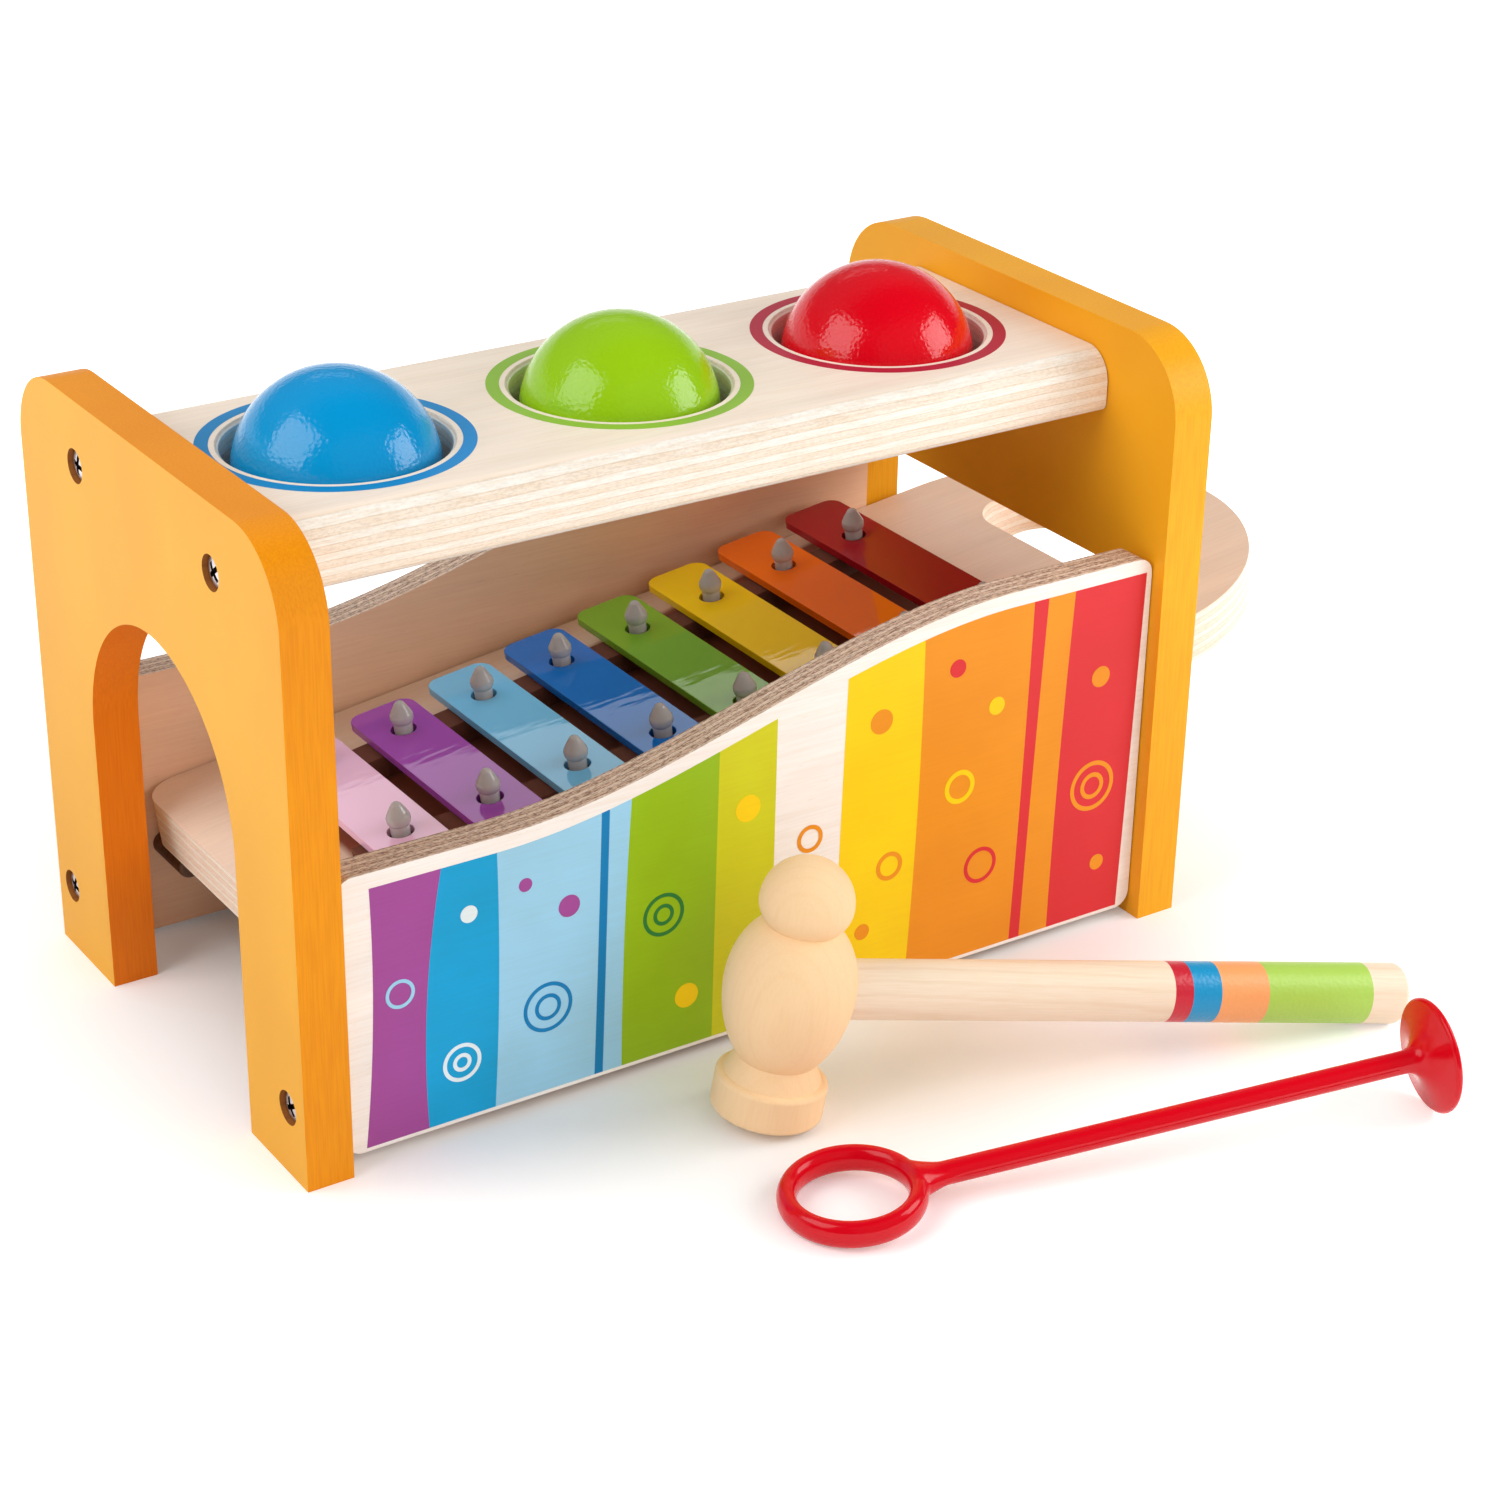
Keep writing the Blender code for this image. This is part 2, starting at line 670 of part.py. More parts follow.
def make_dowels(panels, low_panels, parts, cutters, root):
    """Makes the four hidden dowels and cuts their holes."""
    half = DOWEL_LENGTH / 2
    profile = [(0, half), (DOWEL_RADIUS, half), (DOWEL_RADIUS, -half), (0, -half)]
    for side in SIDES:
        for face in FACES:
            place = dowel_place(side, face)
            name = f"dowel_{side}_{face}"
            turn = {"parent": root, "location": place, "rotation": ALONG_X}
            finish_piece(turned(name, profile, SCREW_STEPS, parts, **turn), "turned_beech")
            hole = rod_cutter(
                name + "_cutter",
                DOWEL_RADIUS + FIT_GAP,
                DOWEL_LENGTH + 2 * FIT_GAP,
                SCREW_STEPS,
                cutters,
                root,
                place,
                ALONG_X,
            )
            combine(panels[side], hole)
            combine(low_panels[face], hole)


def make_pegs(low_panels, parts, cutters, root):
    """Makes the two pegs that carry the xylophone's low end, and cuts their holes."""
    height = deck_underside(PEG_PLACE - PEG_RADIUS) - FIT_GAP - PEG_RADIUS / math.cos(SLOPE)
    length = PEG_REACH + PEG_SEAT_DEPTH
    profile = [
        (0, length),
        (PEG_RADIUS - PEG_END_ROUND, length),
        (PEG_RADIUS, length - PEG_END_ROUND),
        (PEG_RADIUS, 0),
        (0, 0),
    ]
    for face, sign in FACES.items():
        seat = sign * (PANEL_INNER_FACE + PEG_SEAT_DEPTH)
        place = {
            "parent": root,
            "location": (PEG_PLACE, seat, height),
            "rotation": (sign * QUARTER_TURN, 0, 0),
        }
        peg = turned(f"support_peg_{face}", profile, SCREW_STEPS, parts, **place)
        finish_piece(peg, "peg_wood")
        hole = rod_cutter(
            f"support_peg_{face}_cutter",
            PEG_RADIUS + FIT_GAP,
            2 * (PEG_SEAT_DEPTH + FIT_GAP),
            SCREW_STEPS,
            cutters,
            root,
            (PEG_PLACE, sign * PANEL_INNER_FACE, height),
            ALONG_Y,
        )
        combine(low_panels[face], hole)


# Balls and rings

BALLS = ("blue", "green", "red")


def make_balls(parts, root):
    """Makes the three balls, each with its origin on the line that it moves along."""
    for index, colour in enumerate(BALLS):
        mesh = bpy.data.meshes.new(f"ball_{colour}")
        sphere = bmesh.new()
        bmesh.ops.create_uvsphere(
            sphere, u_segments=BALL_STEPS, v_segments=BALL_STEPS // 2, radius=BALL_RADIUS
        )
        sphere.to_mesh(mesh)
        sphere.free()
        centre = (ball_place(index), 0, BALL_HEIGHT)
        ball = new_object(f"ball_{colour}", mesh, parts, root, centre)
        finish_piece(ball, f"{colour}_lacquer")


def make_rings(parts, root):
    """Makes the soft ring under each hole, whose lip the ball rests on until it is hit."""
    bottom = BOARD_BOTTOM
    top = bottom + RING_HEIGHT
    reach = BALL_RADIUS + FIT_GAP
    upper = math.sqrt(reach**2 - (BALL_HEIGHT - top) ** 2)
    lower = math.sqrt(reach**2 - (BALL_HEIGHT - bottom) ** 2)
    profile = [
        (upper, top),
        (RING_OUTER_RADIUS, top),
        (RING_OUTER_RADIUS, bottom),
        (lower, bottom),
        (upper, top),
    ]
    for index, colour in enumerate(BALLS):
        place = {"parent": root, "location": (ball_place(index), 0, 0)}
        ring = turned(f"ball_ring_{colour}", profile, HOLE_STEPS, parts, **place)
        finish_piece(ring, "soft_ring")


# Xylophone


def make_deck(parts, cutters, carrier):
    """Makes the xylophone board, with its round pull end, finger slot and post holes."""
    half = DECK_WIDTH / 2
    shoulder = DECK_RIGHT_REACH - DECK_END_LENGTH
    corners = [
        (-DECK_LEFT_REACH, half, DECK_CORNER_RADIUS),
        (-DECK_LEFT_REACH, -half, DECK_CORNER_RADIUS),
    ]
    nose = arc(
        (shoulder, 0), (DECK_END_LENGTH, half), -QUARTER_TURN, QUARTER_TURN, 2 * ROUND_STEPS
    )
    outline = rounded([(x, y, 0) for x, y in nose] + corners)
    slot = rectangle(
        (SLOT_REACH + SLOT_LENGTH / 2, 0), (SLOT_LENGTH, SLOT_WIDTH), SLOT_CORNER_RADIUS
    )
    middle = (0, 0, -DECK_THICKNESS / 2)
    deck = plate(
        "xylophone_board", [outline, slot], DECK_THICKNESS, parts, parent=carrier, location=middle
    )
    round_edges(deck, DECK_EDGE_RADIUS, FINE_SEGMENTS)
    places = [place for index in range(len(KEY_COLOURS)) for place in post_places(index).values()]
    holes = drill(
        "post_holes_cutter",
        places,
        POST_SHANK_RADIUS + FIT_GAP,
        POST_DEPTH + FIT_GAP,
        POST_STEPS,
        cutters,
        carrier,
    )
    combine(deck, holes)
    return finish_piece(deck, "birch_plywood")


def make_keys(parts, carrier):
    """Makes the eight coloured keys, which get longer up the slope."""
    for index, colour in enumerate(KEY_COLOURS):
        length = KEY_SHORTEST + KEY_LENGTH_STEP * index
        centre = (key_place(index), 0)
        outline = rectangle(centre, (KEY_WIDTH, length), KEY_CORNER_RADIUS)
        holes = [
            circle(place, KEY_HOLE_RADIUS, SCREW_STEPS) for place in post_places(index).values()
        ]
        key = plate(
            f"key_{colour}",
            [outline, *holes],
            KEY_THICKNESS,
            parts,
            parent=carrier,
            location=(0, 0, KEY_TOP - KEY_THICKNESS / 2),
        )
        finish_piece(key, f"key_{colour}")


def make_rails(parts, carrier):
    """Makes the two felt rails under the keys, along the rows of posts."""
    last = len(KEY_COLOURS) - 1
    thickness = KEY_TOP - KEY_THICKNESS - 2 * FIT_GAP
    spread = POST_ROW_STEP / KEY_PITCH
    for face, sign in FACES.items():
        outline = []
        ends = (key_place(0) - KEY_WIDTH / 2, key_place(last) + KEY_WIDTH / 2)
        for end, away in zip(ends, (-1, 1)):
            x = end + away * RAIL_OVERHANG
            y = sign * (POST_ROW_START + spread * (x - key_place(0)))
            sides = (-away, away)
            outline += [(x, y + side * RAIL_WIDTH / 2) for side in sides]
        holes = [
            circle(post_places(index)[face], POST_SHANK_RADIUS + FIT_GAP, POST_STEPS)
            for index in range(len(KEY_COLOURS))
        ]
        rail = plate(
            f"key_rail_{face}",
            [outline, *holes],
            thickness,
            parts,
            parent=carrier,
            location=(0, 0, FIT_GAP + thickness / 2),
        )
        finish_piece(rail, "rail_felt")


def make_posts(parts, carrier):
    """Makes the sixteen egg-headed posts that hold the keys, which share one mesh."""
    head = POST_HEAD_HEIGHT - POST_COLLAR_HEIGHT
    egg_centre = KEY_TOP + POST_COLLAR_HEIGHT + head * POST_EGG_SHARE
    below = egg_centre - KEY_TOP - POST_COLLAR_HEIGHT
    above = head - below
    egg = arc((0, egg_centre), (POST_HEAD_RADIUS, above), QUARTER_TURN, 0, EGG_STEPS)
    profile = [
        *egg,
        (POST_SHANK_RADIUS, egg_centre - below),
        (POST_SHANK_RADIUS, -POST_DEPTH),
        (0, -POST_DEPTH),
    ]
    profile[0] = (0, egg[0][1])
    pattern = applied(turned("post_pattern", profile, POST_STEPS, parts))
    mesh = pattern.data
    bpy.data.objects.remove(pattern)
    for index in range(len(KEY_COLOURS)):
        for face, (x, y) in post_places(index).items():
            name = f"key_post_{KEY_COLOURS[index]}_{face}"
            post = new_object(name, mesh, parts, carrier, (x, y, 0))
            finish_piece(post, "post_plastic")


# Hammer


def swelling(centre, radius, ends):
    """Returns the turned profile of a swelling between two necks of (radius, height), top first."""
    profile = []
    for (neck_radius, neck_height), signs in zip(ends, ((1, 0), (0, -1))):
        angle = math.acos(neck_radius / radius)
        reach = abs(neck_height - centre) / math.sin(angle)
        start, end = (sign * angle for sign in signs)
        profile += arc((0, centre), (radius, reach), start, end, SWELLING_STEPS)
    return profile[: SWELLING_STEPS + 1] + profile[SWELLING_STEPS + 2 :]


def make_hammer(parts, cutters, root):
    """Makes the turned hammer head and its handle, lying on the head's rim and the handle's end."""
    lean = math.atan2(
        HANDLE_HEIGHT - HANDLE_END_RADIUS, HANDLE_REACH - HANDLE_END_ROUND - HAMMER_BASE_RADIUS
    )
    turn = Matrix.Rotation(HAMMER_TURN, 3, "Z") @ Matrix.Rotation(lean, 3, "Y")
    rim = turn @ Vector((HAMMER_BASE_RADIUS, 0, 0))
    origin = new_empty("hammer_origin", parts, root)
    origin.location = Vector((*HAMMER_PLACE, 0)) - rim
    origin.rotation_euler = turn.to_euler()
    neck = (HAMMER_NECK_RADIUS, HAMMER_NECK_HEIGHT)
    upper_neck = (HAMMER_UPPER_NECK_RADIUS, HAMMER_UPPER_NECK_HEIGHT)
    cap = swelling(HAMMER_CAP_HEIGHT, HAMMER_CAP_RADIUS, ((0, HAMMER_TOP), upper_neck))
    bulb = swelling(HAMMER_BULB_HEIGHT, HAMMER_BULB_RADIUS, (upper_neck, neck))
    cap[0] = (0, HAMMER_TOP)
    base = [
        (HAMMER_BASE_RADIUS, HAMMER_BASE_HEIGHT),
        (HAMMER_BASE_RADIUS, 0),
        (0, 0),
    ]
    head = turned("hammer_head", cap + bulb[1:] + base, HEAD_STEPS, parts, parent=origin)
    bore_length = HANDLE_TENON + FIT_GAP + HAMMER_BULB_RADIUS + CUT_OVERRUN
    bore = rod_cutter(
        "handle_bore_cutter",
        HANDLE_RADIUS + FIT_GAP,
        bore_length,
        HANDLE_STEPS,
        cutters,
        origin,
        (bore_length / 2 - HANDLE_TENON - FIT_GAP, 0, HANDLE_HEIGHT),
        ALONG_X,
    )
    combine(head, bore)
    finish_piece(head, "turned_beech")
    profile = [
        (0, HANDLE_REACH),
        (HANDLE_END_RADIUS - HANDLE_END_ROUND, HANDLE_REACH),
        (HANDLE_END_RADIUS, HANDLE_REACH - HANDLE_END_ROUND),
        (HANDLE_RADIUS, HAMMER_BULB_RADIUS),
        (HANDLE_RADIUS, -HANDLE_TENON),
        (0, -HANDLE_TENON),
    ]
    place = {"parent": origin, "location": (0, 0, HANDLE_HEIGHT), "rotation": ALONG_X}
    finish_piece(turned("hammer_handle", profile, HANDLE_STEPS, parts, **place), "turned_beech")


# Beater


def make_beater(parts, cutters, root):
    """Makes the one-piece beater, lying on its ring and on the rim of its disc."""
    ring_half_height = BEATER_RING_HEIGHT / 2
    back = BEATER_LENGTH + BEATER_DISC_THICKNESS / 2
    front = BEATER_LENGTH - BEATER_DISC_THICKNESS / 2
    lean = math.atan2(BEATER_DISC_RADIUS - ring_half_height, front + BEATER_RING_RADIUS)
    turn = Matrix.Rotation(BEATER_TURN, 3, "Z") @ Matrix.Rotation(-lean, 3, "Y")
    tube = math.hypot(
        ring_half_height * math.cos(lean), BEATER_RING_WIDTH / 2 * math.sin(lean)
    )
    origin = new_empty("beater_origin", parts, root)
    origin.location = (*BEATER_PLACE, BEATER_RING_RADIUS * math.sin(lean) + tube)
    origin.rotation_euler = turn.to_euler()

    bpy.ops.mesh.primitive_torus_add(
        major_radius=BEATER_RING_RADIUS,
        minor_radius=BEATER_RING_WIDTH / 2,
        major_segments=BEATER_RING_STEPS,
        minor_segments=BEATER_ROD_STEPS,
    )
    torus = bpy.context.active_object
    ring_mesh = torus.data
    ring_mesh.transform(Matrix.Diagonal((1, 1, BEATER_RING_HEIGHT / BEATER_RING_WIDTH, 1)))
    bpy.data.objects.remove(torus)
    beater = new_object("beater", ring_mesh, parts, origin)

    start = BEATER_RING_RADIUS
    rod = [
        (0, back),
        (BEATER_DISC_RADIUS, back),
        (BEATER_DISC_RADIUS, front),
        (BEATER_DISC_RADIUS / 2, front - BEATER_HORN_DEPTH),
        (BEATER_ROD_RADIUS, front - BEATER_HORN_LENGTH),
        (BEATER_ROD_RADIUS, start + BEATER_FLARE_LENGTH),
        (BEATER_FLARE_RADIUS, start),
        (0, start),
    ]
    place = {"parent": origin, "rotation": ALONG_X}
    stem = turned("beater_stem_join", rod, BEATER_DISC_STEPS, cutters, **place)
    combine(beater, as_cutter(stem), "UNION")
    finish_piece(beater, "red_plastic")


# Whole set


def centre_on_floor(root, collection):
    """Moves the set so that the middle of its box's lowest face lies on the origin."""
    bpy.context.view_layer.update()
    graph = bpy.context.evaluated_depsgraph_get()
    corners = []
    for piece in collection.objects:
        if piece.type != "MESH":
            continue
        mesh = piece.evaluated_get(graph).data
        points = np.empty(len(mesh.vertices) * 3)
        mesh.vertices.foreach_get("co", points)
        points = points.reshape(-1, 3)
        world = np.array(piece.matrix_world)
        points = points @ world[:3, :3].T + world[:3, 3]
        corners += [points.min(axis=0), points.max(axis=0)]
    lowest = np.min(corners, axis=0)
    highest = np.max(corners, axis=0)
    middle = (lowest + highest) / 2
    root.location = (-middle[0], -middle[1], -lowest[2])


def main():
    """Builds the whole set."""
    clear_scene()
    parts = new_collection("xylophone_pounding_bench")
    cutters = new_collection("cutters")
    root = new_empty("bench_origin", parts)

    panels = {"left": make_left_panel(parts, root), "right": make_right_panel(parts, root)}
    board = make_pounding_board(parts, root)
    low_panels = {face: make_low_panel(face, parts, root) for face in FACES}
    cut_ball_holes(board, cutters, root)
    make_screws(parts, cutters, root)
    cut_screw_holes(panels, board, low_panels, cutters, root)
    make_dowels(panels, low_panels, parts, cutters, root)
    make_pegs(low_panels, parts, cutters, root)
    for panel in panels.values():
        finish_piece(panel, "yellow_paint")
    for panel in (board, *low_panels.values()):
        finish_piece(panel, "birch_plywood")
    make_rings(parts, root)
    make_balls(parts, root)

    carrier = new_empty("xylophone_origin", parts, root)
    carrier.location = (0, 0, DECK_HEIGHT)
    carrier.rotation_euler = (0, -SLOPE, 0)
    make_deck(parts, cutters, carrier)
    make_rails(parts, carrier)
    make_keys(parts, carrier)
    make_posts(parts, carrier)

    make_hammer(parts, cutters, root)
    make_beater(parts, cutters, root)
    centre_on_floor(root, parts)


if __name__ == "__main__":
    main()
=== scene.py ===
"""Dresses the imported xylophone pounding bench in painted, turned and plywood pieces.

Metres, +Z up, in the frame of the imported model. The classes hold their sizes in millimetres: the
bench's are about the middle of its own floor rectangle, and the xylophone, the hammer and the
beater each have a frame of their own.
"""

import logging
import math
from collections.abc import Sequence
from dataclasses import dataclass
from enum import Enum

import bmesh
import bpy
from mathutils import Euler, Matrix, Vector


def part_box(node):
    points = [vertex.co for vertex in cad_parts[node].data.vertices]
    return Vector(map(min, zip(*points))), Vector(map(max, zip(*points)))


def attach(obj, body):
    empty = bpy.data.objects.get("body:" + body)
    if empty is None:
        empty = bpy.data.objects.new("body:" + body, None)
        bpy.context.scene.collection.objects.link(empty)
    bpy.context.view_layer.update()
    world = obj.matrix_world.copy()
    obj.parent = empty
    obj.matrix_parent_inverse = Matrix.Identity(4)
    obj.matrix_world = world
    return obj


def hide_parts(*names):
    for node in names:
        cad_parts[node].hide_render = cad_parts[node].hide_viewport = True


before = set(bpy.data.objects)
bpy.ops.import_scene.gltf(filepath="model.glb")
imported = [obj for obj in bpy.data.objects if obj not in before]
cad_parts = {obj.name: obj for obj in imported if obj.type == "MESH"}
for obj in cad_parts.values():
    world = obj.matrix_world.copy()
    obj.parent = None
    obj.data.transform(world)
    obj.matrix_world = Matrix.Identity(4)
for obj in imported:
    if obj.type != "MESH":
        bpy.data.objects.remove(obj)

log = logging.getLogger("pounding_bench")

Node = bpy.types.Node
Socket = bpy.types.NodeSocket
Thing = bpy.types.Object
Mesh = bpy.types.Mesh
Input = Node | Socket | str | float | Sequence[float]
Point = tuple[float, float]
Outline = list[Point]

MM = 0.001
QUARTER = math.radians(90)
WHITE = "FFFFFF"


class Axis(Enum):
    """A direction that layers are stacked along, or that a face looks along."""

    X = 0
    Y = 1
    Z = 2


class Face(Enum):
    """The two long sides of the bench, by the sign of Y."""

    FRONT = -1
    BACK = 1


class Side(Enum):
    """The two ends of the bench, by the sign of X."""

    LEFT = -1
    RIGHT = 1


# Frames


def at(x: float, y: float, z: float) -> Matrix:
    """Returns the move to a place in millimetres."""
    return Matrix.Translation(Vector((x, y, z)) * MM)


def bench_frame() -> Matrix:
    """Returns the frame at the middle of the bench's floor rectangle."""
    middle = (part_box("left_side_panel")[0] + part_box("right_side_panel")[1]) / 2
    return Matrix.Translation((middle.x, middle.y, 0))


def tool_frame(place: Sequence[float], lean: float, turn: float) -> Matrix:
    """Returns the frame of a loose tool.

    Args:
        place: Its origin in the bench's frame, in millimetres.
        lean: Its turn about Y, in radians.
        turn: Its turn about Z, in radians.

    Returns:
        The matrix from the tool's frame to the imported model's.
    """
    return BENCH @ at(*place) @ Euler((0, lean, turn)).to_matrix().to_4x4()


BENCH = bench_frame()
SLOPE = math.radians(7.8)
XYLOPHONE = BENCH @ at(0, 0, 52.7) @ Matrix.Rotation(-SLOPE, 4, "Y")
HAMMER = tool_frame((-19.26, -89.456, 2.035), 0.16622, -0.27925)
BEATER = tool_frame((-24.2, -129.2, 4.006), -0.06693, -0.25133)

# Turns of a plate or a turned piece, which are made in XY and about Z
UPRIGHT = Matrix.Rotation(QUARTER, 4, "X")
ENDWISE = Matrix.Rotation(QUARTER, 4, "Z") @ UPRIGHT
LYING = Matrix.Rotation(QUARTER, 4, "Y")


# Node trees


def linear(code: str) -> tuple[float, float, float, float]:
    """Returns the linear colour of an sRGB hex code.

    Args:
        code: Six hex digits.

    Returns:
        Red, green, blue and alpha as a shader takes them.
    """
    channels = [int(code[i : i + 2], 16) / 255 for i in (0, 2, 4)]
    r, g, b = (c / 12.92 if c <= 0.04045 else ((c + 0.055) / 1.055) ** 2.4 for c in channels)
    return (r, g, b, 1)


class Graph:
    """A node tree of any kind, while nodes are added to it."""

    def __init__(self, tree: bpy.types.NodeTree) -> None:
        """Takes the tree."""
        self.tree = tree

    def feed(self, node: Node, inputs: dict[str | int, Input | list[Input]]) -> None:
        """Sets or links a node's inputs.

        Args:
            node: The node.
            inputs: For each input by name or number, a value, the hex code of a colour, an output,
                or a node for its first output in use. A list links several to one input.
        """
        for name, value in inputs.items():
            for item in value if isinstance(value, list) else [value]:
                if isinstance(item, Node):
                    item = next(output for output in item.outputs if output.enabled)
                if isinstance(item, Socket):
                    self.tree.links.new(item, node.inputs[name])
                elif node.inputs[name].type == "RGBA":
                    node.inputs[name].default_value = linear(item)
                else:
                    node.inputs[name].default_value = item

    def add(
        self,
        kind: str,
        inputs: dict[str | int, Input | list[Input]] | None = None,
        stops: Sequence[tuple[float, str]] = (),
        **settings: object,
    ) -> Node:
        """Adds a node with its settings and links.

        Args:
            kind: The node's type name.
            inputs: Its inputs, as feed takes them.
            stops: The positions and hex codes of a colour ramp.
            settings: Attributes of the node itself, set before its inputs.

        Returns:
            The new node.
        """
        node = self.tree.nodes.new(kind)
        for name, value in settings.items():
            setattr(node, name, value)
        self.feed(node, inputs or {})
        if stops:
            elements = node.color_ramp.elements
            while len(elements) < len(stops):
                elements.new(0.5)
            for element, (position, code) in zip(elements, stops):
                element.position, element.color = position, linear(code)
        return node

    def within(self, limits: Sequence[tuple[Input, float, float]]) -> Node:
        """Adds a mask that is 1 where each of several values is past its limit.

        Args:
            limits: For each value, where its step from 0 starts and where it has reached 1.

        Returns:
            The product of the steps.
        """
        mask: Input = 1
        for value, start, full in limits:
            step = self.add("ShaderNodeMapRange", {0: value, "From Min": start, "From Max": full})
            mask = self.add("ShaderNodeMath", {0: mask, 1: step}, operation="MULTIPLY")
        return mask


class Surface(Graph):
    """A material's tree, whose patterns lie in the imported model's frame or in a piece's own."""

    def __init__(self, name: str, into: Matrix | None = None) -> None:
        """Makes the material.

        Args:
            name: The material's name.
            into: The piece's frame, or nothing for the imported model's.
        """
        self.material = bpy.data.materials.new(name)
        self.material.use_nodes = True
        super().__init__(self.material.node_tree)
        self.shader = self.tree.nodes["Principled BSDF"]
        self.into = into
        self.spot = self.add("ShaderNodeTexCoord").outputs["Object"]
        if into is not None:
            back = into.inverted()
            move = {"Location": back.translation, "Rotation": back.to_euler()}
            self.spot = self.add("ShaderNodeMapping", {"Vector": self.spot, **move})

    def grain(self, pitch: Sequence[float], detail: float = 3) -> Node:
        """Adds a noise whose features have a real size along each axis.

        Args:
            pitch: The size of one feature along X, Y and Z, in millimetres.
            detail: The noise's detail.

        Returns:
            The noise.
        """
        scale = tuple(1 / (size * MM) for size in pitch)
        mapped = self.add("ShaderNodeMapping", {"Vector": self.spot, "Scale": scale})
        noise = {"Vector": mapped, "Scale": 1, "Detail": detail, "Roughness": 0.55}
        return self.add("ShaderNodeTexNoise", noise)

    def tinted(
        self, colour: Input, pattern: Input, stops: Sequence[tuple[float, str]], share: Input
    ) -> Node:
        """Darkens a colour by the tints that follow a pattern.

        Args:
            colour: The colour.
            pattern: A value from 0 to 1.
            stops: Places along the pattern and the hex codes of their tints.
            share: How strongly the tints show, from 0 to 1.

        Returns:
            The tinted colour.
        """
        tints = self.add("ShaderNodeValToRGB", {0: pattern}, stops)
        inputs = {0: share, 6: colour, 7: tints}
        return self.add("ShaderNodeMix", inputs, data_type="RGBA", blend_type="MULTIPLY")

    def raised(self, height: Input, depth: float, strength: float, **looks: Input) -> None:
        """Finishes the surface with a pattern in relief and its other looks.

        Args:
            height: The pattern.
            depth: Its real depth in millimetres.
            strength: How strongly it shows, from 0 to 1.
            looks: The shader's inputs by name, with an underscore for each space.
        """
        relief = {"Height": height, "Distance": depth * MM, "Strength": strength}
        inputs = {name.replace("_", " "): value for name, value in looks.items()}
        self.feed(self.shader, {**inputs, "Normal": self.add("ShaderNodeBump", relief)})

    def facing(self, axis: Axis, low: float, high: float) -> Node:
        """Adds a mask that shows how squarely the surface faces along an axis.

        Args:
            axis: The axis, in the surface's frame.
            low: The cosine at which the mask is 0.
            high: The cosine at which the mask is 1.

        Returns:
            A value from 0 to 1.
        """
        normal: Input = self.add("ShaderNodeTexCoord").outputs["Normal"]
        if self.into is not None:
            turn = {"Vector": normal, "Rotation": self.into.inverted().to_euler()}
            normal = self.add("ShaderNodeMapping", turn)
        split = self.add("ShaderNodeSeparateXYZ", {0: normal}).outputs
        flat = self.add("ShaderNodeMath", {0: split[axis.value]}, operation="ABSOLUTE")
        return self.add("ShaderNodeMapRange", {0: flat, "From Min": low, "From Max": high})


# Finishes


@dataclass(frozen=True)
class Finish:
    """What a surface is made of and how it was made.

    Attributes:
        name: The material's name.
        colour: Its colour as an sRGB hex code.
        roughness: Its roughness, from 0 to 1.
        into: The frame that its pattern lies in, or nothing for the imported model's.
    """

    name: str
    colour: str
    roughness: float = 0.4
    into: Matrix | None = None

    def material(self) -> bpy.types.Material:
        """Returns the material, made when it is first asked for.

        Returns:
            The material.
        """
        found = bpy.data.materials.get(self.name)
        if found:
            return found
        surface = Surface(self.name, self.into)
        surface.feed(surface.shader, {"Base Color": self.colour, "Roughness": self.roughness})
        surface.material.diffuse_color = linear(self.colour)
        self.dress(surface)
        return surface.material

    def dress(self, surface: Surface) -> None:
        """Adds the finish's own nodes to a surface."""


@dataclass(frozen=True)
class PaintedWood(Finish):
    """Satin paint sprayed on beech: flat faces, and lined edges in a colour of their own.

    Attributes:
        edge: The colour of the edges; in the side panels' yellow paints it carries painted light
            and shade.
    """

    edge: str = "F28E00"

    def dress(self, surface: Surface) -> None:
        """Adds the clouded faces, the lined edges and the grain in the sheen.

        Args:
            surface: What the nodes are added to.
        """
        fibres = surface.grain((0.4, 0.4, 12))
        cloud = surface.grain((38, 38, 60), 2)
        flat = surface.facing(Axis.X, 0.55, 0.9)
        side = surface.tinted(self.edge, fibres, ((0.36, "F1E2CA"), (0.6, WHITE)), 0.6)
        both = {0: flat, 6: side, 7: self.colour}
        colour = surface.add("ShaderNodeMix", both, data_type="RGBA")
        colour = surface.tinted(colour, cloud, ((0.3, WHITE), (0.7, "F8F2EC")), 1)
        depth = surface.add("ShaderNodeMapRange", {0: flat, "To Min": 1, "To Max": 0.12})
        height = surface.add("ShaderNodeMath", {0: fibres, 1: depth}, operation="MULTIPLY")
        surface.raised(height, 0.06, 0.35, Base_Color=colour, Specular_IOR_Level=0.2)


